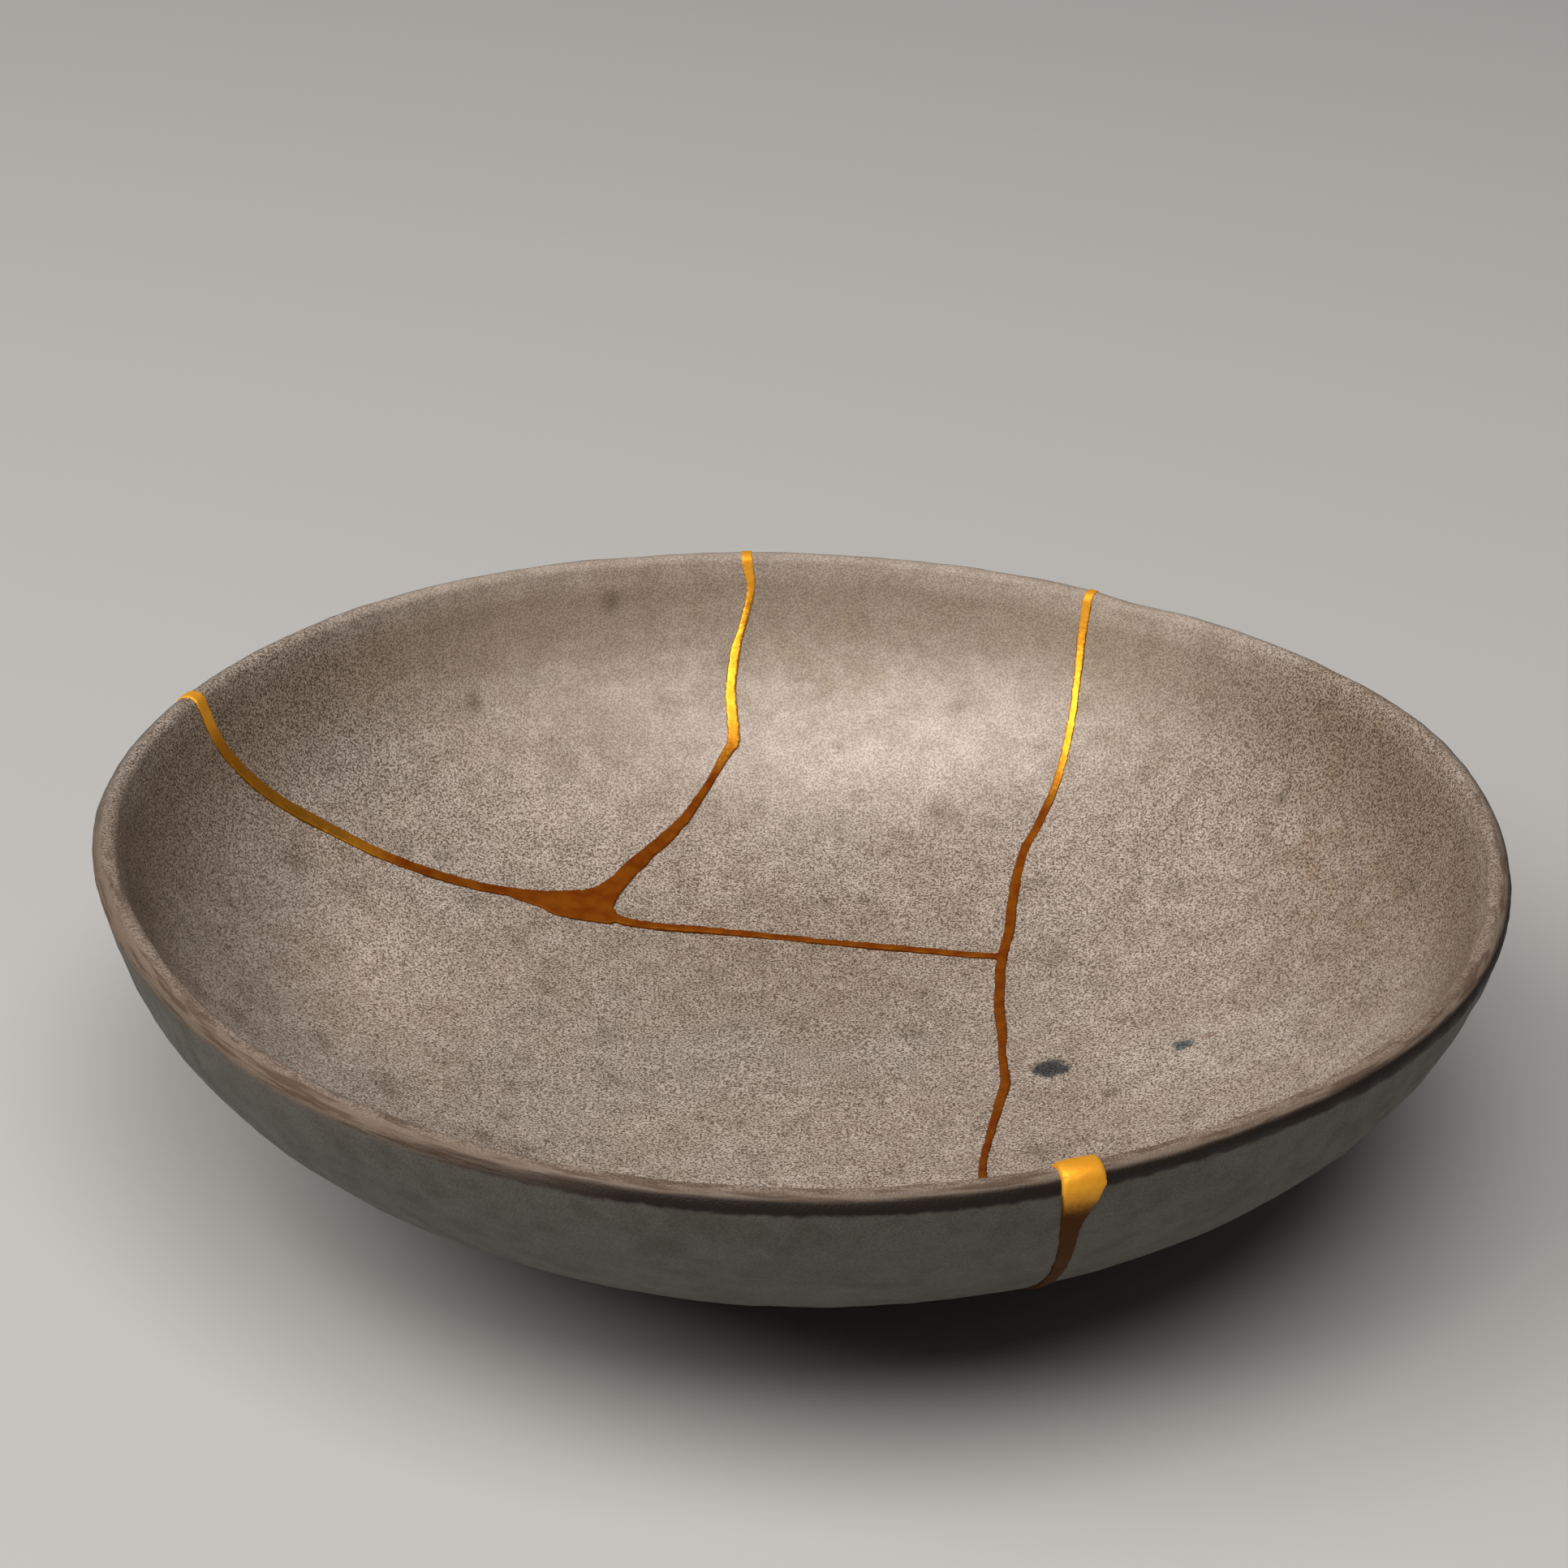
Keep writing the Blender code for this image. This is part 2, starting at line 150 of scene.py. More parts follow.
# How finely the clay is modelled: facets around the bowl inwards of each radius, and ring spacing
TURNS = ((0.009, 48), (0.018, 96), (0.036, 192), (0.072, 384), (1.0, 768))
HOLLOW_RING = 0.001
BELLY_RING = 0.0014
FOOT_RING = 0.0011
LIP_RINGS = 14
ROUNDING_RINGS = 5
CENTRE_RADIUS = 0.001  # the last ring round the middle, which is then closed
CURVE_SAMPLES = 800  # samples of the hollow's curve when lengths are measured along it
SPAN_SAMPLES = 600  # samples between two radii when points are spread evenly
LAST_RADIUS = EQUATOR_RADIUS * 0.9995  # just short of where the curve stands upright
HALVINGS = 40
APPROACHES = 14  # steps that find the place on the wall nearest to a point

# How finely the gold is modelled
GOLD_TURNS = 360
GOLD_RING = 0.0015
GOLD_VOXEL = 0.00026
GOLD_SMOOTHINGS = 5
GOLD_TRIANGLES = 170000
WEB_AREA = 0.02  # more than all the seams have together
SEAM_STEPS = 10  # facets of a seam between two of its points

# The blades that cut the cracks
BLADE_SPARE = 0.004
BLADE_STAGGER = 0.0005
BLADE_TOP = RIM_HEIGHT + LIP_HEIGHT + BLADE_SPARE

WELD = 0.000001
ON_RING = 5 * WELD
CRISP = math.radians(40)

# Shallow dimples that the wheel and the fire left in the hollow: a loose scatter, drawn from a seed
DIMPLE_SEED = 11
DIMPLE_COUNT = 230
DIMPLE_RADII = (0.0010, 0.0028)
DIMPLE_AREA = (0.01, 0.88)  # shares of the mouth's area between which they lie
DIMPLE_DEPTHS = (0.25, 1.0)
DIMPLE_SENSES = (1.0, 1.0, 1.0, -0.6)  # three in four go in, and one in four is a low bump
DIMPLE_EDGE = 3.0  # radii from its middle at which a dimple ends
# Pits that show singly: place in the plan, radius, depth, in millimetres
PITS = (
    (-38.3, 106.4, 1.9, 0.55), (-63.5, 83.9, 2.2, 0.40), (88.6, 55.4, 1.7, 0.45),
    (8.3, 58.1, 2.0, -0.35), (5.5, 56.0, 1.5, 0.4), (12.0, 56.5, 1.6, 0.35),
    (44.8, -0.6, 2.2, 0.15), (-52.0, -34.0, 2.6, 0.25), (-31.0, -6.8, 2.4, 0.28),
)
LUMP_START = 0.003  # height above the table from which the surface is as uneven as anywhere
LUMP_LEVEL = 0.6  # level of the clouds that stays where it is, so that more sinks than swells
# The throwing rings: waves of their drift, size, shift, and where they start from the middle
RING_DRIFT = ((2, 0.0016, 1.3), (5, 0.0009, 0.0))
RING_START = 0.03
RINGS_INSIDE = 0.35  # how much of their depth they have in the hollow
# The waver of the gold's edges: a sum of waves drawn from a seed
WAVER_SEED = 5
WAVER_WAVES = 14
WAVER_PITCHES = (600, 4200)
WAVER_SIZES = (0.4, 1.0)
WAVER_SIDES = (1.0, 2.3)  # makes the two edges differ
SMUDGE_DEPTH = 0.0005  # depth at which a dimple is as dark as the glaze gets in it
# Marks on the glaze: place in the plan, half sizes, in millimetres, colour, strength
SPOTS = (
    ((44.8, -0.6), (3.2, 2.9), (0.035, 0.040, 0.052), 0.9),
    ((68.0, -0.1), (1.9, 1.4), (0.08, 0.12, 0.13), 0.85),
    ((72.5, 1.0), (1.4, 0.9), (0.24, 0.10, 0.07), 0.5),
    ((54.9, -11.8), (1.7, 1.5), (0.12, 0.085, 0.06), 0.45),
)
# Broad tints of the glaze, with painted light and shade: place in the plan, half sizes, in millimetres,
# how much warmer, and how much paler as painted light (below zero, darker as painted shade)
TINTS_AND_PAINTED_LIGHT = (
    ((99.0, 48.0), (17.0, 26.0), 0.9, -0.05), ((62.0, 86.0), (24.0, 14.0), 0.4, 0.0),
    ((71.0, -3.0), (13.0, 8.0), -1.1, 0.1), ((-45.0, 98.0), (34.0, 12.0), 0.35, 0.0),
    ((0.0, 106.0), (30.0, 8.0), 0.35, 0.0), ((0.0, 40.0), (40.0, 17.0), 0.3, -0.08),
    ((15.0, 91.0), (42.0, 11.0), -0.35, 0.34), ((-74.0, 14.0), (12.0, 30.0), -0.2, 0.30),
    ((-6.0, 20.0), (40.0, 30.0), 0.0, -0.12), ((-106.0, 0.0), (12.0, 40.0), 0.0, -0.16),
    ((98.0, 14.0), (12.0, 30.0), 0.35, -0.18), ((-50.0, 70.0), (26.0, 14.0), -0.1, 0.14),
)
MELT_START = 60.0  # how far back the glaze begins to melt smoother, in millimetres
MELT_SPREAD = 40.0
# Along the lip: bearing of the middle, how far to each side it is full, and how far it fades out
BROWNED = (-85.0, 78.0, 102.0)
BURNT = (-57.0, 44.0, 64.0)

# The soft lights: place, sizes, colour
LIGHTS = {
    "key": ((-1.50, -0.80, 1.90), (1.9, 1.9), (1.0, 0.98, 0.95)),
    "top": ((0.10, -1.02, 2.30), (1.7, 1.9), (1.0, 0.98, 0.96)),
}
LIT_POINT = (0.0, 0.0, 0.03)


def inner_height(radius):
    """Height of the hollow's surface above the table."""
    across = radius / EQUATOR_RADIUS
    fall = (1 - across**WALL_ROUNDNESS) ** (1 / WALL_ROUNDNESS)
    return FLOOR_TOP + CURVE_DEPTH * (1 - fall)


def lean(radius):
    """Angle of the hollow's surface from the level."""
    across = radius / EQUATOR_RADIUS
    rest = 1 - across**WALL_ROUNDNESS
    slope = across ** (WALL_ROUNDNESS - 1) * rest ** (1 / WALL_ROUNDNESS - 1)
    return np.arctan(slope * CURVE_DEPTH / EQUATOR_RADIUS)


def wall_at(radius):
    """Thickness of the wall."""
    reach = np.minimum(radius / MOUTH_RADIUS, 1.0)
    return RIM_WALL + (FLOOR_WALL - RIM_WALL) * (1 - reach**WALL_THINNING)


def section_point(radius, depth):
    """Radius and height of a point at a depth into the wall, square to the hollow's surface."""
    angle = lean(radius)
    return radius + depth * np.sin(angle), inner_height(radius) - depth * np.cos(angle)


def radius_at_height(height):
    """Radius of the hollow's surface at a height."""
    fall = 1 - (height - FLOOR_TOP) / CURVE_DEPTH
    return EQUATOR_RADIUS * (1 - fall**WALL_ROUNDNESS) ** (1 / WALL_ROUNDNESS)


def run_along_wall(radius):
    """Distance along the hollow's surface from its middle out to a radius."""
    radii = np.linspace(0.0, LAST_RADIUS, CURVE_SAMPLES)
    steps = np.hypot(np.diff(radii), np.diff(inner_height(radii)))
    return np.interp(radius, radii, np.concatenate(([0.0], np.cumsum(steps))))


def even_radii(start, end, spacing):
    """Radii from start to end whose points lie evenly along the hollow's surface."""
    radii = np.linspace(start, end, SPAN_SAMPLES)
    runs = run_along_wall(radii)
    count = max(2, round(abs(runs[-1] - runs[0]) / spacing))
    wanted = np.linspace(runs[0], runs[-1], count + 1)
    if runs[0] > runs[-1]:
        return np.interp(wanted, runs[::-1], radii[::-1])
    return np.interp(wanted, runs, radii)


def radius_under_belly(outer_radius, proud):
    """Radius in the hollow that lies square above a radius on the belly."""
    low, high = 0.0, MOUTH_RADIUS
    for _ in range(HALVINGS):
        middle = (low + high) / 2
        if section_point(middle, wall_at(middle) + proud)[0] < outer_radius:
            low = middle
        else:
            high = middle
    return high


def arc(centre, size, start, end, steps):
    """Points on an arc, angles in degrees."""
    angles = [math.radians(start + (end - start) * step / steps) for step in range(steps + 1)]
    return [(centre[0] + size * math.cos(a), centre[1] + size * math.sin(a)) for a in angles]


def straight(start, end, spacing):
    """Points from start to end, without the last."""
    count = max(1, round(math.dist(start, end) / spacing))
    return [
        tuple(a + (b - a) * step / count for a, b in zip(start, end)) for step in range(count)
    ]


def foot_section(proud, spacing):
    """Section of the underside and the foot ring, from the middle out to the belly."""
    inside = FOOT_RADIUS - FOOT_WIDTH
    under = FOOT_RECESS - proud
    edge, hollow = FOOT_EDGE, FOOT_HOLLOW
    points = straight((CENTRE_RADIUS, under), (inside - hollow, under), spacing)
    points += arc((inside - hollow, under - hollow), hollow, 90, 0, ROUNDING_RINGS)
    points += arc((inside + 2 * edge, edge), edge, 180, 270, ROUNDING_RINGS)
    points += straight((inside + 2 * edge + spacing, 0.0), (FOOT_RADIUS - edge, 0.0), spacing)
    points += arc((FOOT_RADIUS - edge, edge), edge, 270, 360, ROUNDING_RINGS)
    return points


def lip_section(proud, steps):
    """Section of the rounded lip, from the outside to the inside, without its two ends."""
    rim_lean = lean(MOUTH_RADIUS)
    middle = section_point(MOUTH_RADIUS, RIM_WALL / 2)
    half_wall = RIM_WALL / 2 + proud
    rise = LIP_HEIGHT + proud
    points = []
    for step in range(1, steps):
        turn = math.pi * step / steps
        out, up = half_wall * math.cos(turn), rise * math.sin(turn)
        points.append((
            middle[0] + out * math.sin(rim_lean) + up * math.cos(rim_lean),
            middle[1] - out * math.cos(rim_lean) + up * math.sin(rim_lean),
        ))
    return points


def bowl_section(proud, belly_spacing, hollow_spacing):
    """Half section of the bowl, from under its middle round the rim to the floor's middle."""
    points = foot_section(proud, FOOT_RING)
    belly_start = radius_under_belly(FOOT_RADIUS + FOOT_FLARE, proud)
    for radius in even_radii(belly_start, MOUTH_RADIUS, belly_spacing):
        points.append(section_point(radius, wall_at(radius) + proud))
    points += lip_section(proud, LIP_RINGS)
    for radius in even_radii(MOUTH_RADIUS, CENTRE_RADIUS, hollow_spacing):
        points.append(section_point(radius, -proud))
    return [(float(radius), float(height)) for radius, height in points]


def wave(waves, bearing):
    return sum(
        size * np.cos(lobes * (bearing - math.radians(peak))) for lobes, size, peak in waves
    )


def rim_shift(points):
    """How far the hand-thrown rim moves each point: an array of the same shape."""
    level = np.clip((points[:, 2] - RIM_HEIGHT + WAVE_REACH) / WAVE_REACH, 0.0, 1.0)
    share = level * level * (3 - 2 * level)
    bearing = np.arctan2(points[:, 1], points[:, 0])
    from_dip = np.degrees(bearing) - DIP_BEARING
    dip = DIP_DEPTH * np.exp(-((from_dip / DIP_SPREAD) ** 2))
    out = share * wave(RADIAL_WAVES, bearing)
    up = share * (wave(HEIGHT_WAVES, bearing) - dip)
    return np.column_stack((out * np.cos(bearing), out * np.sin(bearing), up))


def wall_place(points):
    """Hollow radius square to each point, and its depth below the hollow's surface."""
    unwaved = points - rim_shift(points)
    radius, height = np.hypot(unwaved[:, 0], unwaved[:, 1]), unwaved[:, 2]
    facing = np.minimum(radius, MOUTH_RADIUS)
    for _ in range(APPROACHES):
        angle = lean(facing)
        out, up = radius - facing, height - inner_height(facing)
        along = out * np.cos(angle) + up * np.sin(angle)
        facing = np.clip(facing + along * np.cos(angle), 0.0, LAST_RADIUS)
    angle = lean(facing)
    out, up = radius - facing, height - inner_height(facing)
    return facing, out * np.sin(angle) - up * np.cos(angle)


def wall_point(radius, bearing, depth):
    """Point at a depth into the wall, in degrees of bearing, before the rim's waves."""
    out, height = section_point(radius, depth)
    turn = math.radians(bearing)
    return Vector((out * math.cos(turn), out * math.sin(turn), height))


def vectors(items, name):
    """One vector of each item, as the rows of an array."""
    flat = np.empty(len(items) * 3, np.float32)
    items.foreach_get(name, flat)
    return flat.reshape(-1, 3).astype(float)


def coordinates(mesh):
    return vectors(mesh.vertices, "co")


def set_coordinates(mesh, points):
    mesh.vertices.foreach_set("co", points.astype(np.float32).ravel())
    mesh.update()


def vertex_normals(mesh):
    return vectors(mesh.vertex_normals, "vector")


def press_in(mesh, depths):
    """Moves each vertex in along its normal, and no farther out than the part's own box."""
    points = coordinates(mesh) - vertex_normals(mesh) * depths[:, None]
    set_coordinates(mesh, np.clip(points, *CAD_BOX))


def set_mode(mode):
    bpy.ops.object.mode_set(mode=mode)


def make_active(thing, *others):
    """Selects one object alone, or with others, and makes it the active one."""
    bpy.ops.object.select_all(action="DESELECT")
    for chosen in (thing, *others):
        chosen.select_set(True)
    bpy.context.view_layer.objects.active = thing


def apply_modifiers(thing):
    make_active(thing)
    for modifier in list(thing.modifiers):
        bpy.ops.object.modifier_apply(modifier=modifier.name)


def remove(thing):
    bpy.data.objects.remove(thing, do_unlink=True)


def turn_zone(section, turns):
    """One band of the bowl: a point drawn out along the section, then turned on the wheel."""
    bpy.ops.object.select_all(action="DESELECT")
    bpy.ops.mesh.primitive_plane_add(size=FOOT_WIDTH)
    zone = bpy.context.object
    set_mode("EDIT")
    bpy.ops.mesh.select_mode(type="VERT")
    bpy.ops.mesh.merge(type="CENTER")
    here = Vector((section[0][0], 0.0, section[0][1]))
    bpy.ops.transform.translate(value=here)
    for radius, height in section[1:]:
        there = Vector((radius, 0.0, height))
        bpy.ops.mesh.extrude_region_move(TRANSFORM_OT_translate={"value": there - here})
        here = there
    set_mode("OBJECT")
    wheel = zone.modifiers.new("wheel", "SCREW")
    wheel.steps = wheel.render_steps = turns
    wheel.use_merge_vertices = True
    wheel.merge_threshold = WELD
    apply_modifiers(zone)
    return zone


def with_rings(thing, rings, step):
    """Runs an edit-mode step on the edges that lie on the given rings."""
    set_mode("EDIT")
    bpy.ops.mesh.select_all(action="DESELECT")
    bpy.ops.mesh.select_mode(type="VERT")
    set_mode("OBJECT")
    points = coordinates(thing.data)
    radius = np.hypot(points[:, 0], points[:, 1])
    chosen = np.zeros(len(points), bool)
    for ring_radius, height in rings:
        chosen |= np.hypot(radius - ring_radius, points[:, 2] - height) < ON_RING
    thing.data.vertices.foreach_set("select", chosen)
    set_mode("EDIT")
    bpy.ops.mesh.select_mode(type="EDGE")
    step()
    set_mode("OBJECT")


def close_middle():
    bpy.ops.mesh.edge_face_add()
    bpy.ops.mesh.poke()


def thrown_bowl(name, section, turns_at):
    """The whole bowl: bands of fewer facets towards the middle, bridged, and closed at the middle."""
    bands = []
    for point in section:
        turns = turns_at(point[0])
        if not bands or bands[-1][1] != turns:
            bands.append(([], turns))
        bands[-1][0].append(point)
    zones = [turn_zone(points, turns) for points, turns in bands]
    make_active(*zones)
    bpy.ops.object.join()
    bowl = zones[0]
    bowl.name = name
    for (points, _), (following, _) in zip(bands, bands[1:]):
        with_rings(bowl, (points[-1], following[0]), bpy.ops.mesh.bridge_edge_loops)
    for end in (section[0], section[-1]):
        with_rings(bowl, (end,), close_middle)
    set_mode("EDIT")
    bpy.ops.mesh.select_all(action="SELECT")
    bpy.ops.mesh.normals_make_consistent(inside=False)
    set_mode("OBJECT")
    points = coordinates(bowl.data)
    set_coordinates(bowl.data, points + rim_shift(points))
    return bowl


def clay_turns(radius):
    return next(turns for limit, turns in TURNS if radius < limit)


def gold_turns(radius):
    return GOLD_TURNS if radius > FOOT_RADIUS / 2 else GOLD_TURNS // 6


def add_lumps(thing, label, size, depth, level, group=""):
    """Modifier that swells and sinks a surface softly."""
    texture = bpy.data.textures.new(label, "CLOUDS")
    texture.noise_scale = size
    lumps = thing.modifiers.new(label, "DISPLACE")
    lumps.texture = texture
    lumps.texture_coords = "LOCAL"
    lumps.vertex_group = group
    lumps.strength = depth
    lumps.mid_level = level


def uneven_surface(bowl, clay):
    """The soft lumps of a hand-thrown wall; the ring that stands on the table stays flat."""
    heights = coordinates(bowl.data)[:, 2]
    loose = bowl.vertex_groups.new(name="off_the_table")
    loose.add(np.flatnonzero(heights >= LUMP_START).tolist(), 1.0, "REPLACE")
    for index in np.flatnonzero((heights > WELD) & (heights < LUMP_START)).tolist():
        loose.add([index], float(heights[index]) / LUMP_START, "REPLACE")
    add_lumps(bowl, "broad_lumps", clay.lump_size, clay.lump_depth, LUMP_LEVEL, loose.name)
    add_lumps(bowl, "fine_lumps", clay.ripple_size, clay.ripple_depth, LUMP_LEVEL, loose.name)
    apply_modifiers(bowl)
    bowl.vertex_groups.clear()


def dimple_field(clay):
    """Dimples and pits of the hollow: x, y, radius and depth."""
    draw = random.Random(DIMPLE_SEED)
    dimples = [tuple(value * MILLIMETRE for value in pit) for pit in PITS]
    for _ in range(DIMPLE_COUNT):
        away = MOUTH_RADIUS * math.sqrt(draw.uniform(*DIMPLE_AREA))
        turn = draw.uniform(0.0, math.tau)
        size = draw.uniform(*DIMPLE_RADII)
        depth = clay.dimple_depth * draw.uniform(*DIMPLE_DEPTHS) * draw.choice(DIMPLE_SENSES)
        dimples.append((away * math.cos(turn), away * math.sin(turn), size, depth))
    return dimples


def dimples_at(points, outside, clay):
    """Depth that the dimples and pits press into the hollow at each point."""
    press = np.zeros(len(points))
    hollow = np.flatnonzero(outside < 0.3)
    across = points[hollow]
    for x, y, size, pit in dimple_field(clay):
        close = np.flatnonzero(np.abs(across[:, 0] - x) < DIMPLE_EDGE * size)
        middle = np.array((x, y, inner_height(math.hypot(x, y))))
        near = ((across[close] - middle) ** 2).sum(axis=1) / size**2
        press[hollow[close]] += np.where(near < DIMPLE_EDGE**2, pit * np.exp(-near), 0.0)
    return press


def thrown_surface(bowl, clay):
    """Throwing rings all over, and the dimples and pits of the hollow."""
    points = coordinates(bowl.data)
    facing, depth = wall_place(points)
    outside = np.clip(depth / wall_at(facing), 0.0, 1.0)
    bearing = np.arctan2(points[:, 1], points[:, 0])
    run = run_along_wall(facing)
    drift = sum(size * np.sin(lobes * bearing + shift) for lobes, size, shift in RING_DRIFT)
    turns = (run + drift) / clay.ring_spacing + bearing / math.tau
    share = RINGS_INSIDE + (1 - RINGS_INSIDE) * outside
    strength = clay.ring_depth * share * np.clip(run / RING_START, 0.0, 1.0)
    strength *= np.clip(points[:, 2] / LUMP_START, 0.0, 1.0)
    press = strength * (0.5 - 0.5 * np.cos(math.tau * turns)) + dimples_at(points, outside, clay)
    press_in(bowl.data, press)


def smooth_path(points, steps):
    """Points along a smooth curve through the given ones."""
    ends = [points[0], *points, points[-1]]
    path = []
    for first, second, third, fourth in zip(ends, ends[1:], ends[2:], ends[3:]):
        for step in range(steps):
            share = step / steps
            path.append(tuple(
                b + share * (c - a) / 2
                + share**2 * (a - 2.5 * b + 2 * c - d / 2)
                + share**3 * (1.5 * b - 1.5 * c + (d - a) / 2)
                for a, b, c, d in zip(first, second, third, fourth)
            ))
    path.append(points[-1])
    return path


def seam_route(seam):
    """Radius, bearing and width along a seam, run on above the rim where it ends there."""
    route = [
        (reach * MOUTH_RADIUS, bearing, width * MILLIMETRE)
        for reach, bearing, width in smooth_path(seam, SEAM_STEPS)
    ]
    above = radius_at_height(BLADE_TOP)
    if seam[0][0] == 1.0:
        route.insert(0, (above, *route[0][1:]))
    if seam[-1][0] == 1.0:
        route.append((above, *route[-1][1:]))
    return route


def blade_ends(radius, bearing, extra):
    """Where a blade ends in the hollow and, past the wall and the foot, outside the bowl."""
    spare = BLADE_SPARE + extra
    inside = wall_point(radius, bearing, -spare)
    return inside, wall_point(radius, bearing, wall_at(radius) + FOOT_RECESS + spare)


def extruded_through(name, rings):
    """Closed body drawn out from ring to ring, each a list of as many points."""
    bpy.ops.object.select_all(action="DESELECT")
    bpy.ops.mesh.primitive_circle_add(vertices=len(rings[0]), radius=FOOT_WIDTH, fill_type="NGON")
    body = bpy.context.object
    body.name = name
    for vertex, spot in zip(body.data.vertices, rings[0]):
        vertex.co = spot
    set_mode("EDIT")
    bpy.ops.mesh.select_all(action="SELECT")
    for before, after in zip(rings, rings[1:]):
        bpy.ops.mesh.extrude_region_move(TRANSFORM_OT_translate={"value": (0, 0, 0)})
        shape = bmesh.from_edit_mesh(body.data)
        for vertex in [vertex for vertex in shape.verts if vertex.select]:
            corner = min(range(len(before)), key=lambda k: (before[k] - vertex.co).length_squared)
            vertex.co = after[corner]
        bmesh.update_edit_mesh(body.data)
    bpy.ops.mesh.select_all(action="SELECT")
    bpy.ops.mesh.quads_convert_to_tris()
    bpy.ops.mesh.normals_make_consistent(inside=False)
    set_mode("OBJECT")
    points = coordinates(body.data)
    set_coordinates(body.data, points + rim_shift(points))
    return body


def seam_blade(name, seam, width_at, extra):
    """Closed strip that follows a seam and stands right through the wall."""
    route = seam_route(seam)
    rings = []
    run = 0.0
    for index, (radius, bearing, width) in enumerate(route):
        before, after = route[max(index - 1, 0)], route[min(index + 1, len(route) - 1)]
        along = wall_point(*after[:2], 0.0) - wall_point(*before[:2], 0.0)
        top, bottom = blade_ends(radius, bearing, extra)
        across = along.cross(bottom - top).normalized()
        run += along.length / 2
        left, right = width_at(width, run)
        rings.append([
            top - across * left, top + across * right,
            bottom + across * right, bottom - across * left,
        ])
    return extruded_through(name, rings)


def plan_point(reach, bearing):
    turn = math.radians(bearing)
    return Vector((math.cos(turn), math.sin(turn))) * reach * MOUTH_RADIUS


def grown_outline(outline, margin):
    """Closed outline in the plan, each corner moved outwards by the margin."""
    corners = [plan_point(reach, bearing) for reach, bearing in outline]
    area = sum(a.x * b.y - b.x * a.y for a, b in zip(corners, corners[1:] + corners[:1]))
    turn = 1.0 if area > 0 else -1.0
    grown = []
    for index, corner in enumerate(corners):
        arriving = (corner - corners[index - 1]).normalized()
        leaving = (corners[(index + 1) % len(corners)] - corner).normalized()
        along = (arriving + leaving).normalized()
        grown.append(corner + Vector((along.y, -along.x)) * turn * margin)
    return grown


def chip_blade(name, margin, extra):
    """Closed plug with the outline of the missing chip, standing right through the wall."""
    top, bottom = [], []
    for corner in grown_outline(CHIP_OUTLINE, margin):
        radius, bearing = corner.length, math.degrees(math.atan2(corner.y, corner.x))
        above, below = blade_ends(radius, bearing, extra)
        top.append(above)
        bottom.append(below)
    return extruded_through(name, [top, bottom])


def add_boolean(thing, other, operation, folded=False):
    """Boolean modifier; folded is for bodies that may cross themselves at a sharp bend."""
    cut = thing.modifiers.new(other.name, "BOOLEAN")
    cut.operation = operation
    cut.solver = "EXACT"
    cut.use_self = folded
    cut.object = other


def seam_network(name, width_at, chip_margin):
    """All the seams and the chip as one closed cutter."""
    network, *others = [
        seam_blade(f"{name}_{label}", seam, width_at, index * BLADE_STAGGER)
        for index, (label, seam) in enumerate(SEAMS.items())
    ]
    others.append(chip_blade(f"{name}_chip", chip_margin, len(SEAMS) * BLADE_STAGGER))
    for other in others:
        add_boolean(network, other, "UNION", folded=True)
    apply_modifiers(network)
    for other in others:
        remove(other)
    return network


def paint(mesh, values):
    """Stores values at each vertex, by name, for the materials to follow."""
    for label, amounts in values.items():
        layer = mesh.attributes.new(label, "FLOAT", "POINT")
        layer.data.foreach_set("value", amounts.astype(np.float32))


def around_lip(bearing, stretch):
    """1 along a stretch of the lip, fading to 0 past its ends."""
    middle, full, none = (math.radians(angle) for angle in stretch)
    return np.clip((np.cos(bearing - middle) - math.cos(none)) / (math.cos(full) - math.cos(none)), 0, 1)


def paint_places(piece, clay):
    """What the finish follows: way through the wall and down from the rim, tints, painted light and
    shade, dimples, burn.
    """
    points = coordinates(piece.data)
    facing, depth = wall_place(points)
    through = depth / wall_at(facing)
    warmth, painted_light_and_shade = np.zeros(len(points)), np.ones(len(points))
    # Warmth is the glaze's own tint; the second sum is painted light and shade, paler where light falls
    # strongest and darker where shade falls
    for (x, y), (across, along), warmer, painted_light_amount in TINTS_AND_PAINTED_LIGHT:
        from_middle = ((points[:, 0] / MILLIMETRE - x) / across) ** 2
        from_middle += ((points[:, 1] / MILLIMETRE - y) / along) ** 2
        warmth += warmer * np.exp(-from_middle)
        painted_light_and_shade += painted_light_amount * np.exp(-from_middle)
    pooled = np.clip(dimples_at(points, through, clay) / SMUDGE_DEPTH, 0.0, 1.0)
    bearing = np.arctan2(points[:, 1], points[:, 0])
    paint(piece.data, {
        "through_wall": through,
        "below_rim_mm": (run_along_wall(MOUTH_RADIUS) - run_along_wall(facing)) / MILLIMETRE,
        "warmth": warmth,
        "painted_light_and_shade": painted_light_and_shade,
        "far_wall": np.clip((points[:, 1] / MILLIMETRE - MELT_START) / MELT_SPREAD, 0.0, 1.0),
        "smudge": pooled,
        "browned": around_lip(bearing, BROWNED),
        "burn": around_lip(bearing, BURNT),
    })


def broken_shards(bowl, crack_width):
    """The bowl parted along its cracks: the objects of the four shards, by node name."""
    cutter = seam_network("crack", lambda width, run: (crack_width / 2,) * 2, -crack_width)
    add_boolean(bowl, cutter, "DIFFERENCE")
    apply_modifiers(bowl)
    remove(cutter)
    set_mode("EDIT")
    bpy.ops.mesh.select_all(action="SELECT")
    bpy.ops.mesh.separate(type="LOOSE")
    set_mode("OBJECT")
    pieces = list(bpy.context.selected_objects)
    if len(pieces) != len(SHARDS):
        raise RuntimeError(f"the bowl broke into {len(pieces)} pieces, not {len(SHARDS)}")
    found = {}
    for node, (reach, bearing) in SHARDS.items():
        mark = np.array(wall_point(reach * MOUTH_RADIUS, bearing, 0.0))
        found[node] = min(
            pieces, key=lambda piece: np.linalg.norm(coordinates(piece.data) - mark, axis=1).min()
        )
    return found


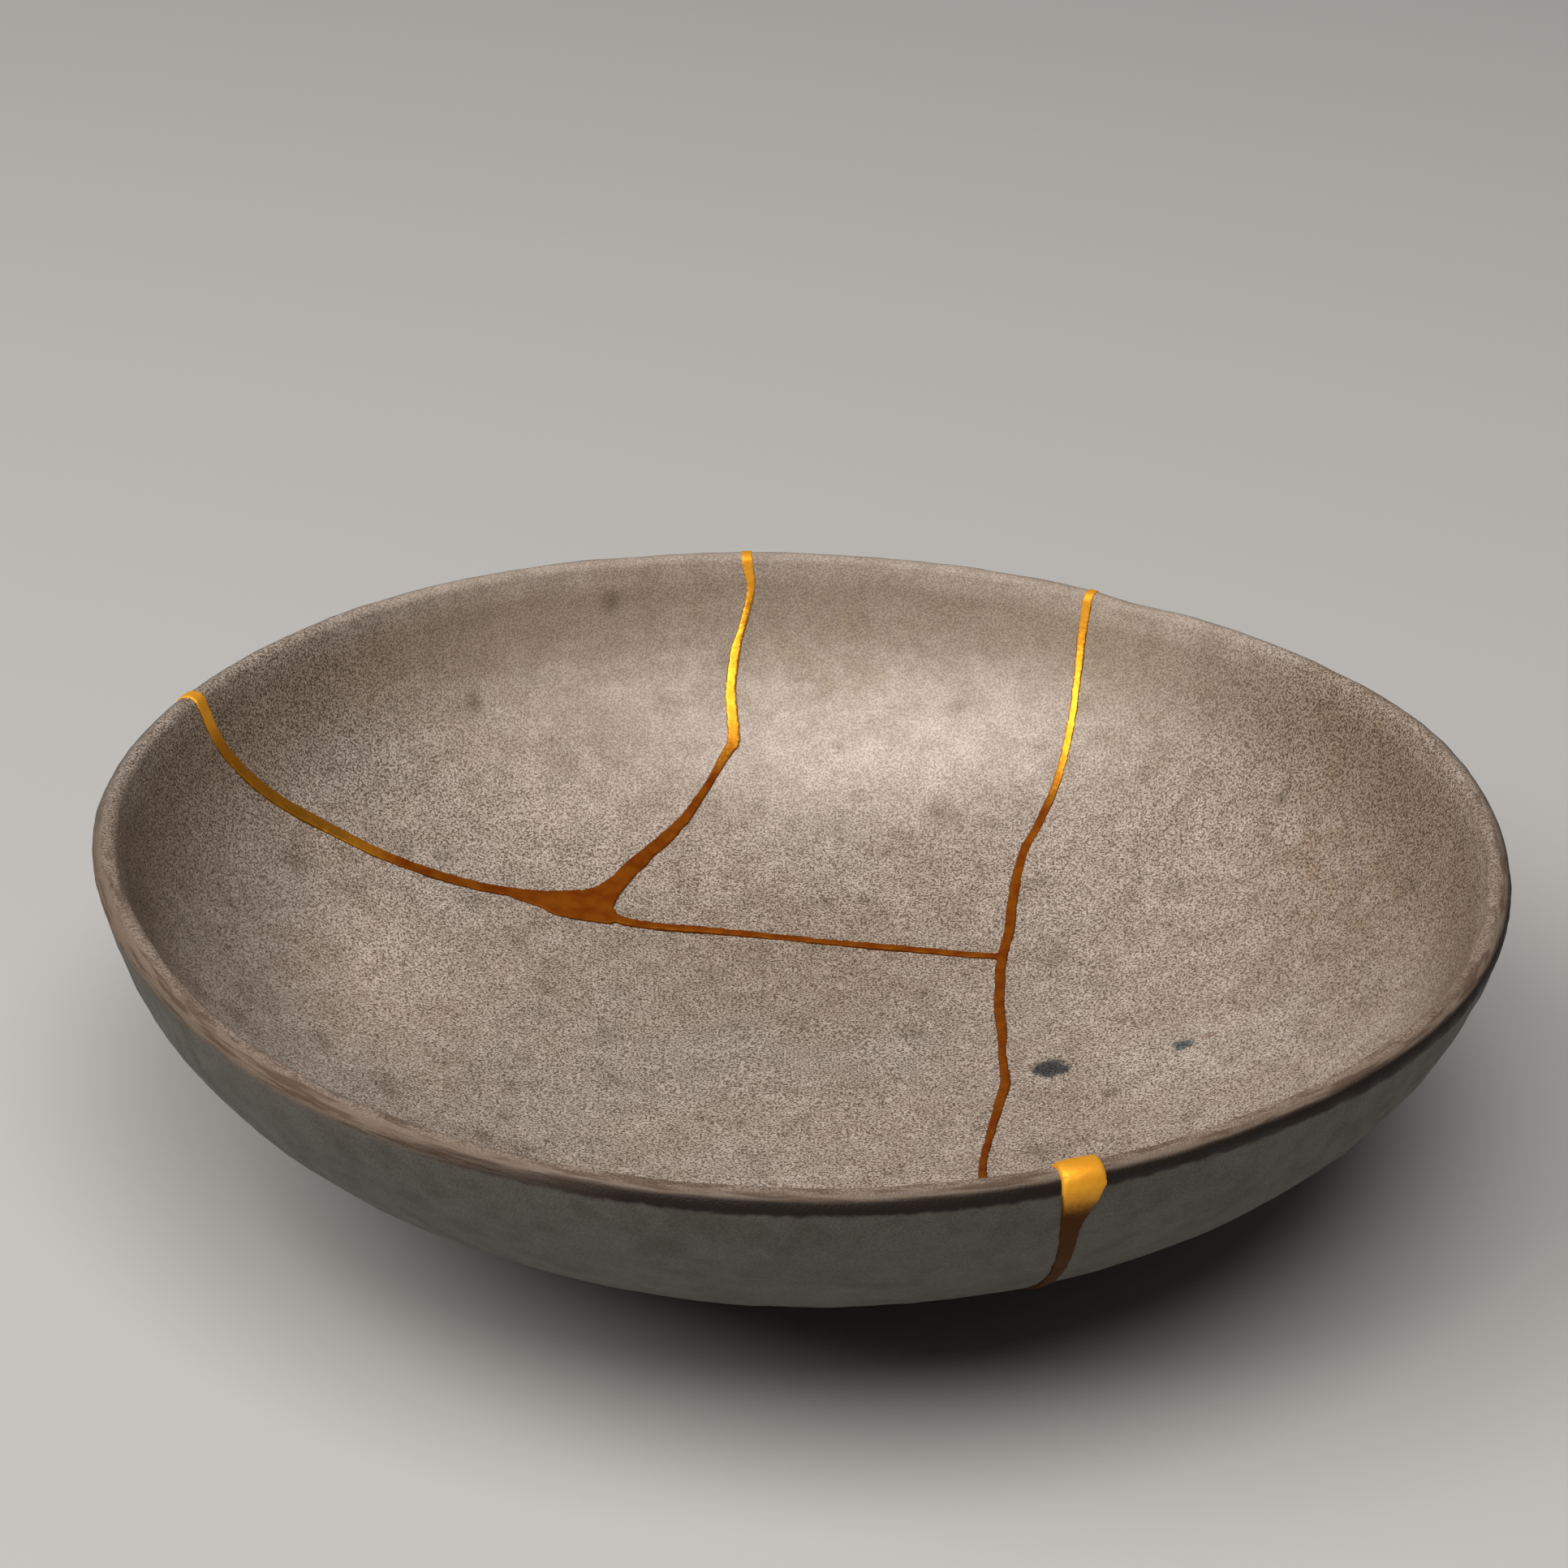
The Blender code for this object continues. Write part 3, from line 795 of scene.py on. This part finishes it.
def finish_piece(piece, name, node, material):
    """Names a finished piece, gives it its material and puts it on the frame."""
    piece.name = piece.data.name = name
    piece.data.materials.clear()
    piece.data.materials.append(material)
    make_active(piece)
    bpy.ops.object.shade_smooth_by_angle(angle=CRISP)
    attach(piece, BODY)
    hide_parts(node)


def hand_width(gold):
    """Half widths left and right of a seam, with the small waver of a hand-drawn line."""
    draw = random.Random(WAVER_SEED)
    waves = [
        (draw.uniform(*WAVER_PITCHES), draw.uniform(0, math.tau), draw.uniform(*WAVER_SIZES))
        for _ in range(WAVER_WAVES)
    ]

    def half_width(width, run, side):
        total = sum(size * math.sin(pitch * run + phase * side) for pitch, phase, size in waves)
        return gold.width_share * width / 2 + gold.waver * total / math.sqrt(WAVER_WAVES)

    return lambda width, run: tuple(half_width(width, run, side) for side in WAVER_SIDES)


def gold_web(gold):
    """The lacquer: a slightly swollen bowl kept only where the seams are, and softened all over."""
    section = bowl_section(gold.proud, GOLD_RING, GOLD_RING)
    web = thrown_bowl("gold_lacquer_web", section, gold_turns)
    cutter = seam_network("lacquer", hand_width(gold), -gold.chip_margin)
    add_boolean(web, cutter, "INTERSECT")
    melt = web.modifiers.new("one_body", "REMESH")
    melt.mode = "VOXEL"
    melt.voxel_size = GOLD_VOXEL
    soften = web.modifiers.new("soft_edges", "SMOOTH")
    soften.iterations = GOLD_SMOOTHINGS
    add_lumps(web, "brush_lumps", gold.lump_size, gold.lump_depth, 0.5)
    apply_modifiers(web)
    remove(cutter)
    count = sum(len(face.vertices) - 2 for face in web.data.polygons)
    if count > GOLD_TRIANGLES:
        thin = web.modifiers.new("thin_out", "DECIMATE")
        thin.ratio = GOLD_TRIANGLES / count
        apply_modifiers(web)
    area = sum(face.area for face in web.data.polygons)
    if area > WEB_AREA:
        raise RuntimeError(f"the lacquer covers {area:.4f} square metres, more than its seams")
    drop = wall_point(MOUTH_RADIUS, FRONT_SEAM[-1][1], RIM_WALL / 2)
    near = ((coordinates(web.data) - np.array(drop)) ** 2).sum(axis=1) / gold.drop_size**2
    press_in(web.data, -gold.drop_height * np.exp(-near))
    return web


def paint_gold(web):
    """Attributes that the gold follows: how far its edge falls away, and how steep its wall is."""
    mesh = web.data
    points, normals = coordinates(mesh), vertex_normals(mesh)
    facing, depth = wall_place(points)
    bearing = np.arctan2(points[:, 1], points[:, 0])
    angle = lean(facing)
    upright = np.column_stack((
        -np.sin(angle) * np.cos(bearing), -np.sin(angle) * np.sin(bearing), np.cos(angle)
    ))
    shoulder = 1 - np.abs((normals * upright).sum(axis=1))
    above_rim = run_along_wall(facing) - run_along_wall(MOUTH_RADIUS)
    shoulder = np.where(above_rim > -0.0005, 0.0, shoulder)
    paint(mesh, {
        "shoulder": shoulder,
        "below_rim_mm": -above_rim / MILLIMETRE,
        "through_wall": depth / wall_at(facing),
    })


def fill(tree, node, inputs):
    """Gives a node its inputs: plain values, or sockets to link from."""
    for socket, value in inputs.items():
        if isinstance(value, bpy.types.NodeSocket):
            tree.links.new(value, node.inputs[socket])
        else:
            node.inputs[socket].default_value = value


def place(tree, kind, inputs=None, **options):
    """Adds a node, with its options and its inputs."""
    node = tree.nodes.new(kind)
    for option, value in options.items():
        setattr(node, option, value)
    fill(tree, node, inputs or {})
    return node


def maths(tree, operation, *values):
    return place(tree, "ShaderNodeMath", dict(enumerate(values)), operation=operation).outputs[0]


def times(tree, first, second):
    return maths(tree, "MULTIPLY", first, second)


def frayed(tree, value, ragged, amount):
    """A value with the ragged noise added to it."""
    return maths(tree, "MULTIPLY_ADD", ragged, amount, value)


def vector_maths(tree, operation, *values):
    inputs = dict(enumerate(values))
    return place(tree, "ShaderNodeVectorMath", inputs, operation=operation).outputs[0]


def remap(tree, value, low, high, to_low=0.0, to_high=1.0):
    """Smooth step of a value between two levels."""
    inputs = {"Value": value, "From Min": low, "From Max": high, "To Min": to_low, "To Max": to_high}
    return place(
        tree, "ShaderNodeMapRange", inputs, interpolation_type="SMOOTHSTEP"
    ).outputs["Result"]


def blend(tree, share, first, second, how="MIX"):
    """Mixes two colours: sockets, or red, green and blue."""
    inputs = {0: share}
    for socket, colour in ((6, first), (7, second)):
        inputs[socket] = colour if isinstance(colour, bpy.types.NodeSocket) else (*colour, 1.0)
    node = place(tree, "ShaderNodeMix", inputs, data_type="RGBA", blend_type=how)
    return node.outputs[2]


def noise(tree, vector, scale, detail=2.0, roughness=0.6):
    inputs = {"Vector": vector, "Scale": scale, "Detail": detail, "Roughness": roughness}
    return place(tree, "ShaderNodeTexNoise", inputs).outputs["Fac"]


def attribute(tree, name):
    return place(tree, "ShaderNodeAttribute", attribute_name=name).outputs["Fac"]


def in_millimetres(tree):
    """Object coordinates in millimetres."""
    coordinate = place(tree, "ShaderNodeTexCoord").outputs["Object"]
    return vector_maths(tree, "MULTIPLY", coordinate, (1 / MILLIMETRE,) * 3)


def bump(tree, strength, distance, height):
    inputs = {"Strength": strength, "Distance": distance, "Height": height}
    return place(tree, "ShaderNodeBump", inputs).outputs["Normal"]


def new_group(name, inputs, output):
    """New group of shader nodes: name and default of each input, and one output's name."""
    tree = bpy.data.node_groups.new(name, "ShaderNodeTree")
    tree.interface.new_socket(name="Place", in_out="INPUT", socket_type="NodeSocketVector")
    for label, default in inputs.items():
        socket = tree.interface.new_socket(
            name=label, in_out="INPUT", socket_type="NodeSocketFloat"
        )
        socket.default_value = default
    tree.interface.new_socket(name=output, in_out="OUTPUT", socket_type="NodeSocketFloat")
    return tree, place(tree, "NodeGroupInput").outputs, place(tree, "NodeGroupOutput").inputs[0]


def make_grain_group():
    """Fine fired grain: a maze of pale and dark worm-like specks, 0 dark and 1 pale."""
    tree, given, result = new_group("Fired grain", {"Spacing": 0.75}, "Grain")
    scale = maths(tree, "DIVIDE", 1.3, given["Spacing"])
    worms = noise(tree, given["Place"], scale, 1.0, 0.7)
    tree.links.new(remap(tree, worms, 0.35, 0.63), result)
    return tree


def make_patch_group():
    """Broad soft patches: 0 and 1 with wide blurred borders."""
    sizes = {"Size": 25.0, "Cover": 0.5, "Softness": 0.2}
    tree, given, result = new_group("Soft patches", sizes, "Patch")
    scale = maths(tree, "DIVIDE", 1.0, given["Size"])
    cloud = noise(tree, given["Place"], scale, 2.0, 0.55)
    middle = maths(tree, "SUBTRACT", 1.0, given["Cover"])
    low = maths(tree, "SUBTRACT", middle, given["Softness"])
    high = maths(tree, "ADD", middle, given["Softness"])
    tree.links.new(remap(tree, cloud, low, high), result)
    return tree


def group_value(tree, group, vector, **values):
    """What a node group gives at a place, with the given values."""
    inputs = {"Place": vector, **values}
    return place(tree, "ShaderNodeGroup", inputs, node_tree=group).outputs[0]


def spot_mask(tree, vector, centre, size, ragged):
    """Mask of one spot on the glaze, seen from above: centre and half sizes in millimetres."""
    away = vector_maths(tree, "SUBTRACT", vector, (*centre, 0.0))
    share = vector_maths(tree, "MULTIPLY", away, (1 / size[0], 1 / size[1], 0.0))
    distance = place(tree, "ShaderNodeVectorMath", {0: share}, operation="LENGTH").outputs["Value"]
    return remap(tree, maths(tree, "ADD", distance, ragged), 1.25, 0.7)


def new_material(name):
    material = bpy.data.materials.new(name)
    material.use_nodes = True
    tree = material.node_tree
    return material, tree, tree.nodes["Principled BSDF"]


def stoneware(clay, grain_group, patch_group):
    """Matt speckled glaze inside, with painted light and shade, cooler and darker outside, burnt lip,
    bare clay foot.
    """
    material, tree, shader = new_material("speckled_stoneware")
    here = in_millimetres(tree)
    through = attribute(tree, "through_wall")
    below = attribute(tree, "below_rim_mm")
    outside = remap(tree, through, 0.25, 0.8)
    ragged = maths(tree, "SUBTRACT", noise(tree, here, 0.4), 0.5)

    # Clouds of the glaze; the second and third patterns are moved, so that none coincide
    cloud = group_value(tree, patch_group, here, Size=32.0, Cover=0.5, Softness=0.2)
    warm = maths(tree, "MULTIPLY_ADD", cloud, 0.45, attribute(tree, "warmth"))
    tone = blend(tree, warm, clay.lilac_glaze, clay.ochre_glaze)
    moved = vector_maths(tree, "ADD", here, (90.0, 40.0, 10.0))
    pale = group_value(tree, patch_group, moved, Size=5.5, Cover=0.5, Softness=0.22)
    tone = blend(tree, times(tree, pale, 0.6), tone, clay.pale_glaze)
    moved = vector_maths(tree, "ADD", here, (15.0, -70.0, 0.0))
    streak = group_value(tree, patch_group, moved, Size=6.0, Cover=0.45, Softness=0.18)
    tone = blend(tree, times(tree, streak, 0.22), tone, clay.smudge)

    # Thinner glaze below the rim, pools in the dimples, and painted light and shade over the glaze
    low_side = remap(tree, frayed(tree, below, ragged, 9.0), 27.0, 9.0)
    rim_shade = times(tree, low_side, remap(tree, below, 0.5, 5.0, 0.35, 1.0))
    tone = blend(tree, times(tree, rim_shade, clay.rim_shade), tone, clay.rim_glaze)
    tone = blend(tree, attribute(tree, "smudge"), tone, clay.smudge)
    # Painted light and shade: the glaze multiplied paler where light falls strongest and darker where
    # shade falls
    tone = blend(tree, 1.0, tone, attribute(tree, "painted_light_and_shade"), "MULTIPLY")

    outer = blend(tree, streak, clay.outer_clay, clay.outer_streak)
    tone = blend(tree, outside, tone, outer)

    inside = remap(tree, through, 0.4, 0.2)
    for centre, size, colour, strength in SPOTS:
        mask = spot_mask(tree, here, centre, size, ragged)
        share = times(tree, times(tree, mask, inside), strength)
        tone = blend(tree, share, tone, colour)

    # The fired grain, softer on the far wall and outside
    grain = group_value(tree, grain_group, here, Spacing=clay.grain_spacing)
    dark = blend(tree, 1.0, tone, clay.grain_shade, "MULTIPLY")
    melted = remap(tree, attribute(tree, "far_wall"), 0.0, 1.0, 1.0, clay.melted_grain)
    contrast = times(tree, melted, remap(tree, outside, 0.0, 1.0, 1.0, clay.outer_grain))
    grain_share = times(tree, maths(tree, "SUBTRACT", 1.0, grain), contrast)
    tone = blend(tree, grain_share, tone, dark)

    # The lip: brown, with streaks drawn out along it, and a burnt line on its outer edge
    uneven = frayed(tree, below, ragged, 1.6)
    depth = maths(tree, "MULTIPLY_ADD", through, 3.0, below)
    upwards = place(tree, "ShaderNodeCombineXYZ", {2: depth}).outputs[0]
    along = vector_maths(tree, "MULTIPLY_ADD", here, (0.07, 0.07, 0.0), upwards)
    browned = times(tree, attribute(tree, "browned"), remap(tree, uneven, 1.0, -0.4))
    browned = times(tree, browned, remap(tree, through, 0.0, 0.8, 0.45, 1.0))
    tone = blend(tree, times(tree, browned, 0.7), tone, clay.lip)
    scorched = times(tree, browned, remap(tree, noise(tree, along, 1.3), 0.46, 0.62))
    tone = blend(tree, times(tree, scorched, 0.8), tone, clay.scorch)
    from_line = maths(tree, "ABSOLUTE", maths(tree, "SUBTRACT", through, 0.92))
    line = times(tree, remap(tree, from_line, 0.26, 0.08), remap(tree, uneven, 1.1, 0.1))
    tone = blend(tree, times(tree, line, attribute(tree, "burn")), tone, clay.iron)

    foot = remap(tree, frayed(tree, through, ragged, 0.25), 1.1, 1.22)
    tone = blend(tree, foot, tone, blend(tree, grain, clay.bare_speck, clay.bare_clay))

    relief = maths(tree, "MULTIPLY_ADD", grain, 0.4, noise(tree, here, 0.6))
    fill(tree, shader, {
        "Base Color": tone,
        "Roughness": remap(tree, pale, 0.0, 1.0, clay.roughness + 0.12, clay.roughness),
        "Specular IOR Level": clay.sheen,
        "Normal": bump(tree, clay.grain_bump, clay.grain_depth, relief),
    })
    return material


def gold_lacquer(gold, patch_group):
    """Gold dust on lacquer: bright on the walls, orange-brown where it lies level, partly rubbed gold and
    partly painted shade for the dark surroundings that level gold mirrors; painted shade darkens it
    outside the wall too.
    """
    material, tree, shader = new_material("gold_lacquer")
    here = in_millimetres(tree)
    below = attribute(tree, "below_rim_mm")
    ragged = maths(tree, "SUBTRACT", noise(tree, here, 1.3), 0.5)
    worn = group_value(tree, patch_group, here, Size=3.5, Cover=0.5, Softness=0.25)
    # Darker where it lies level: partly rubbed gold, partly painted shade for the dark surroundings that
    # level gold mirrors
    level = remap(tree, frayed(tree, below, ragged, 8.0), 30.0, 46.0)
    through = remap(tree, attribute(tree, "through_wall"), 0.8, 1.0)
    # Painted shade: the gold on the outer side of the wall, below the lip, darkened to the lacquer's edge
    # colour
    outside = times(tree, through, remap(tree, frayed(tree, below, ragged, 2.0), -0.5, 5.5))
    dull = maths(tree, "MAXIMUM", level, outside)

    bright = blend(tree, times(tree, worn, 0.45), gold.bright, gold.amber)
    # Rubbed gold and painted shade on the floor's seams
    tone = blend(tree, level, bright, blend(tree, worn, gold.rubbed_and_shaded, gold.brown))
    # Painted shade outside the wall, in the lacquer's edge colour
    tone = blend(tree, outside, tone, gold.edge)
    shoulder = frayed(tree, attribute(tree, "shoulder"), ragged, 0.25)
    tone = blend(tree, times(tree, remap(tree, shoulder, 0.12, 0.5), 0.7), tone, gold.edge)
    on_wall = remap(tree, dull, 0.0, 1.0, 1.0, gold.rubbed_metal)
    on_rim = remap(tree, below, 2.0, 9.0, gold.rim_metal, 1.0)
    smooth = remap(tree, dull, 0.0, 1.0, gold.roughness, gold.rubbed_roughness)
    fill(tree, shader, {
        "Base Color": tone,
        "Metallic": maths(tree, "MINIMUM", on_wall, on_rim),
        "Roughness": maths(tree, "MULTIPLY_ADD", worn, 0.1, smooth),
        "Specular IOR Level": gold.sheen,
        "Normal": bump(tree, gold.grain_bump, gold.grain_depth, ragged),
    })
    return material


def shared_group(name, make):
    """The node group of that name, made the first time it is asked for."""
    return bpy.data.node_groups.get(name) or make()


def colour_prop(name, default, description):
    return bpy.props.FloatVectorProperty(
        name=name, description=description, default=default, subtype="COLOR", size=3, min=0.0, max=1.0
    )


def length_prop(name, default, description):
    return bpy.props.FloatProperty(
        name=name, description=description, default=default, unit="LENGTH", precision=5
    )


def share_prop(name, default, description):
    return bpy.props.FloatProperty(
        name=name, description=description, default=default, subtype="FACTOR", min=0.0, max=1.0
    )


def angle_prop(name, degrees, description):
    return bpy.props.FloatProperty(
        name=name, description=description, default=math.radians(degrees), subtype="ANGLE"
    )


def power_prop(name, default, description):
    return bpy.props.FloatProperty(
        name=name, description=description, default=default, unit="POWER"
    )


class KintsugiClay(bpy.types.PropertyGroup):
    """Sizes and colours of the stoneware shards."""

    crack_width: length_prop("Crack width", 0.0009, "Gap between two shards, under the gold")
    lump_size: length_prop("Lump size", 0.017, "Size of the broad lumps of the wall")
    lump_depth: length_prop("Lump depth", 0.0006, "Depth of the broad lumps")
    ripple_size: length_prop("Ripple size", 0.0038, "Size of the small lumps of the wall")
    ripple_depth: length_prop("Ripple depth", 0.00017, "Depth of the small lumps")
    dimple_depth: length_prop("Dimple depth", 0.00026, "Depth of the dimples in the hollow")
    ring_spacing: length_prop("Ring spacing", 0.0052, "Distance between two throwing rings")
    ring_depth: length_prop("Ring depth", 0.00014, "Depth of the throwing rings outside")
    lilac_glaze: colour_prop("Lilac glaze", (0.485, 0.412, 0.357), "Cool patches of the glaze")
    ochre_glaze: colour_prop("Ochre glaze", (0.430, 0.325, 0.235), "Warm patches of the glaze")
    pale_glaze: colour_prop("Pale glaze", (0.60, 0.515, 0.455), "Palest clouds of the glaze")
    rim_glaze: colour_prop("Rim glaze", (0.270, 0.200, 0.138), "Thin glaze below the rim")
    smudge: colour_prop("Smudge", (0.19, 0.148, 0.10), "Glaze that pooled in the dimples")
    grain_shade: colour_prop("Grain shade", (0.24, 0.20, 0.155), "How much darker the grain is")
    outer_clay: colour_prop("Outer clay", (0.128, 0.119, 0.101), "Outside of the wall")
    outer_streak: colour_prop("Outer streak", (0.100, 0.091, 0.074), "Darker outside streaks")
    lip: colour_prop("Lip", (0.190, 0.130, 0.090), "Thin glaze over the lip")
    scorch: colour_prop("Scorch", (0.075, 0.042, 0.026), "Brown streaks along the lip")
    iron: colour_prop("Iron", (0.012, 0.007, 0.004), "Burnt line along the lip's outer edge")
    bare_clay: colour_prop("Bare clay", (0.36, 0.26, 0.18), "Unglazed foot ring")
    bare_speck: colour_prop("Bare speck", (0.22, 0.155, 0.10), "Grain of the unglazed foot ring")
    rim_shade: share_prop("Rim shade", 0.7, "How strongly the glaze darkens below the rim")
    melted_grain: share_prop("Melted grain", 0.45, "How much grain is left on the far wall")
    outer_grain: share_prop("Outer grain", 0.35, "How strongly the grain shows outside")
    grain_spacing: bpy.props.FloatProperty(
        name="Grain spacing", description="Distance between two specks, in millimetres", default=0.5
    )
    grain_bump: share_prop("Grain relief", 0.6, "How strongly the grain stands out")
    grain_depth: length_prop("Grain depth", 0.00018, "Depth of the grain's relief")
    roughness: share_prop("Roughness", 0.58, "Roughness of the smoothest glaze")
    sheen: share_prop("Sheen", 0.25, "How much the glaze mirrors")


class KintsugiGold(bpy.types.PropertyGroup):
    """Sizes and colours of the gold lacquer."""

    proud: length_prop("Stand out", 0.00022, "How far the lacquer stands out of the wall")
    width_share: share_prop("Width", 0.95, "Width of a seam, as a share of the part's")
    chip_margin: length_prop("Chip margin", 0.00012, "How far the chip stays inside the part's")
    waver: length_prop("Waver", 0.00009, "Unevenness of the lacquer's edges")
    lump_size: length_prop("Lump size", 0.0022, "Size of the brush's lumps")
    lump_depth: length_prop("Lump depth", 0.00014, "Depth of the brush's lumps")
    drop_height: length_prop("Drop height", 0.0007, "Swelling of the drop on the front rim")
    drop_size: length_prop("Drop size", 0.0048, "Reach of the drop on the front rim")
    bright: colour_prop("Bright gold", (0.94, 0.43, 0.035), "Gold on the walls and the rim")
    amber: colour_prop("Amber gold", (0.75, 0.25, 0.012), "Thinner gold")
    # Rubbed and brown gold: partly worn gold, partly painted shade for the dark surroundings that the
    # floor's gold mirrors
    rubbed_and_shaded: colour_prop("Rubbed gold", (0.255, 0.070, 0.003), "Rubbed gold on the floor")
    brown: colour_prop("Brown gold", (0.165, 0.029, 0.001), "Rubbed gold where it is thinnest")
    # Lacquer edge: colour of the seams' darker sloping edges, and painted shade on the gold outside the
    # wall
    edge: colour_prop("Lacquer edge", (0.070, 0.022, 0.001), "Bare lacquer along the edges")
    rubbed_metal: share_prop("Rubbed metal", 0.35, "How metallic the rubbed gold still is")
    rim_metal: share_prop("Rim metal", 0.35, "How metallic the thick gold dust on the rim is")
    roughness: share_prop("Roughness", 0.42, "Roughness of the smoothest gold")
    rubbed_roughness: share_prop("Rubbed roughness", 0.55, "Roughness of the rubbed gold")
    sheen: share_prop("Sheen", 0.05, "How much the bare lacquer mirrors")
    grain_bump: share_prop("Grain relief", 0.35, "How strongly the dust's grain stands out")
    grain_depth: length_prop("Grain depth", 0.00012, "Depth of the grain's relief")


class KintsugiStage(bpy.types.PropertyGroup):
    """The floor, the lights and the camera."""

    floor_size: length_prop("Floor size", 12.0, "Side of the floor")
    floor_colour: colour_prop("Floor", (0.50, 0.49, 0.475), "Plain pale floor")
    world_colour: colour_prop("Surroundings", (0.05, 0.05, 0.052), "Dim light all round")
    key_power: power_prop("Key light", 46.0, "Power of the soft light at the left")
    top_power: power_prop("Top light", 42.0, "Power of the soft light overhead")
    lens: bpy.props.FloatProperty(
        name="Lens", description="Focal length", default=85.0, unit="CAMERA", subtype="DISTANCE_CAMERA"
    )
    camera_away: length_prop("Camera away", 0.56453, "Level distance of the camera")
    camera_height: length_prop("Camera height", 0.34203, "Height of the camera above the floor")
    camera_down: angle_prop("Look down", 26.01, "Tilt below the level")
    camera_aside: angle_prop("Look aside", -0.334, "Turn to the right")
    camera_roll: angle_prop("Roll", 1.627, "Turn about the line of sight")


class KINTSUGI_OT_shards(bpy.types.Operator):
    """Throw the bowl, break it into its four shards and glaze them"""

    bl_idname = "kintsugi.shards"
    bl_label = "Stoneware shards"

    def execute(self, context):
        clay = context.scene.kintsugi_clay
        section = bowl_section(0.0, BELLY_RING, HOLLOW_RING)
        bowl = thrown_bowl("thrown_bowl", section, clay_turns)
        uneven_surface(bowl, clay)
        thrown_surface(bowl, clay)
        grain = shared_group("Fired grain", make_grain_group)
        patches = shared_group("Soft patches", make_patch_group)
        material = stoneware(clay, grain, patches)
        for node, piece in broken_shards(bowl, clay.crack_width).items():
            paint_places(piece, clay)
            finish_piece(piece, f"{node}_clay", node, material)
        return {"FINISHED"}


class KINTSUGI_OT_gold(bpy.types.Operator):
    """Fill the cracks and the chip with gold lacquer"""

    bl_idname = "kintsugi.gold"
    bl_label = "Gold lacquer"

    def execute(self, context):
        gold = context.scene.kintsugi_gold
        web = gold_web(gold)
        paint_gold(web)
        patches = shared_group("Soft patches", make_patch_group)
        material = gold_lacquer(gold, patches)
        finish_piece(web, "gold_lacquer_web", GOLD_NODE, material)
        return {"FINISHED"}


def add_object(name, data):
    thing = bpy.data.objects.new(name, data)
    bpy.context.scene.collection.objects.link(thing)
    return thing


def add_light(name, power):
    """One soft light, aimed at the bowl."""
    stand, sizes, colour = LIGHTS[name]
    data = bpy.data.lights.new(name, "AREA")
    data.shape = "ELLIPSE"
    data.size, data.size_y = sizes
    data.energy = power
    data.color = colour
    light = add_object(name, data)
    light.location = stand
    light.rotation_euler = (Vector(LIT_POINT) - Vector(stand)).to_track_quat("-Z", "Y").to_euler()


def add_camera(stage):
    """The camera, at the photograph's viewing angle."""
    data = bpy.data.cameras.new("camera")
    data.lens = stage.lens
    camera = add_object("camera", data)
    down, aside, roll = stage.camera_down, stage.camera_aside, stage.camera_roll
    forward = Vector((
        math.sin(aside) * math.cos(down), math.cos(aside) * math.cos(down), -math.sin(down)
    ))
    right = Vector((math.cos(aside), -math.sin(aside), 0.0))
    up = right.cross(forward)
    across = right * math.cos(roll) + up * math.sin(roll)
    above = up * math.cos(roll) - right * math.sin(roll)
    camera.matrix_world = Matrix((
        (across.x, above.x, -forward.x, 0.0),
        (across.y, above.y, -forward.y, -stage.camera_away),
        (across.z, above.z, -forward.z, stage.camera_height),
        (0.0, 0.0, 0.0, 1.0),
    ))
    bpy.context.scene.camera = camera


class KINTSUGI_OT_stage(bpy.types.Operator):
    """Set up the plain floor, the soft lights and the camera"""

    bl_idname = "kintsugi.stage"
    bl_label = "Floor, light and camera"

    def execute(self, context):
        stage = context.scene.kintsugi_stage
        bpy.ops.object.select_all(action="DESELECT")
        bpy.ops.mesh.primitive_plane_add(size=stage.floor_size)
        floor = context.object
        floor.name = floor.data.name = "floor"
        material, tree, shader = new_material("plain_floor")
        fill(tree, shader, {"Base Color": (*stage.floor_colour, 1.0), "Roughness": 0.9})
        floor.data.materials.append(material)

        world = bpy.data.worlds.new("dim_studio")
        world.use_nodes = True
        background = world.node_tree.nodes["Background"]
        background.inputs["Color"].default_value = (*stage.world_colour, 1.0)
        context.scene.world = world
        context.scene.view_settings.view_transform = "Standard"
        add_light("key", stage.key_power)
        add_light("top", stage.top_power)
        add_camera(stage)
        return {"FINISHED"}


class KINTSUGI_PT_bowl(bpy.types.Panel):
    """Sidebar panel of the mended bowl"""

    bl_idname = "KINTSUGI_PT_bowl"
    bl_label = "Kintsugi bowl"
    bl_space_type = "VIEW_3D"
    bl_region_type = "UI"
    bl_category = "Kintsugi"

    def draw(self, context):
        layout = self.layout
        scene = context.scene
        for operator, properties in (
            ("kintsugi.shards", scene.kintsugi_clay),
            ("kintsugi.gold", scene.kintsugi_gold),
            ("kintsugi.stage", scene.kintsugi_stage),
        ):
            box = layout.box()
            box.operator(operator)
            for label in properties.__annotations__:
                box.prop(properties, label)


CLASSES = (
    KintsugiClay, KintsugiGold, KintsugiStage,
    KINTSUGI_OT_shards, KINTSUGI_OT_gold, KINTSUGI_OT_stage, KINTSUGI_PT_bowl,
)


def register():
    for kind in CLASSES:
        bpy.utils.register_class(kind)
    bpy.types.Scene.kintsugi_clay = bpy.props.PointerProperty(type=KintsugiClay)
    bpy.types.Scene.kintsugi_gold = bpy.props.PointerProperty(type=KintsugiGold)
    bpy.types.Scene.kintsugi_stage = bpy.props.PointerProperty(type=KintsugiStage)


def unregister():
    del bpy.types.Scene.kintsugi_stage
    del bpy.types.Scene.kintsugi_gold
    del bpy.types.Scene.kintsugi_clay
    for kind in reversed(CLASSES):
        bpy.utils.unregister_class(kind)


def main():
    register()
    bpy.ops.kintsugi.stage()
    bpy.ops.kintsugi.shards()
    bpy.ops.kintsugi.gold()


if __name__ == "__main__":
    main()
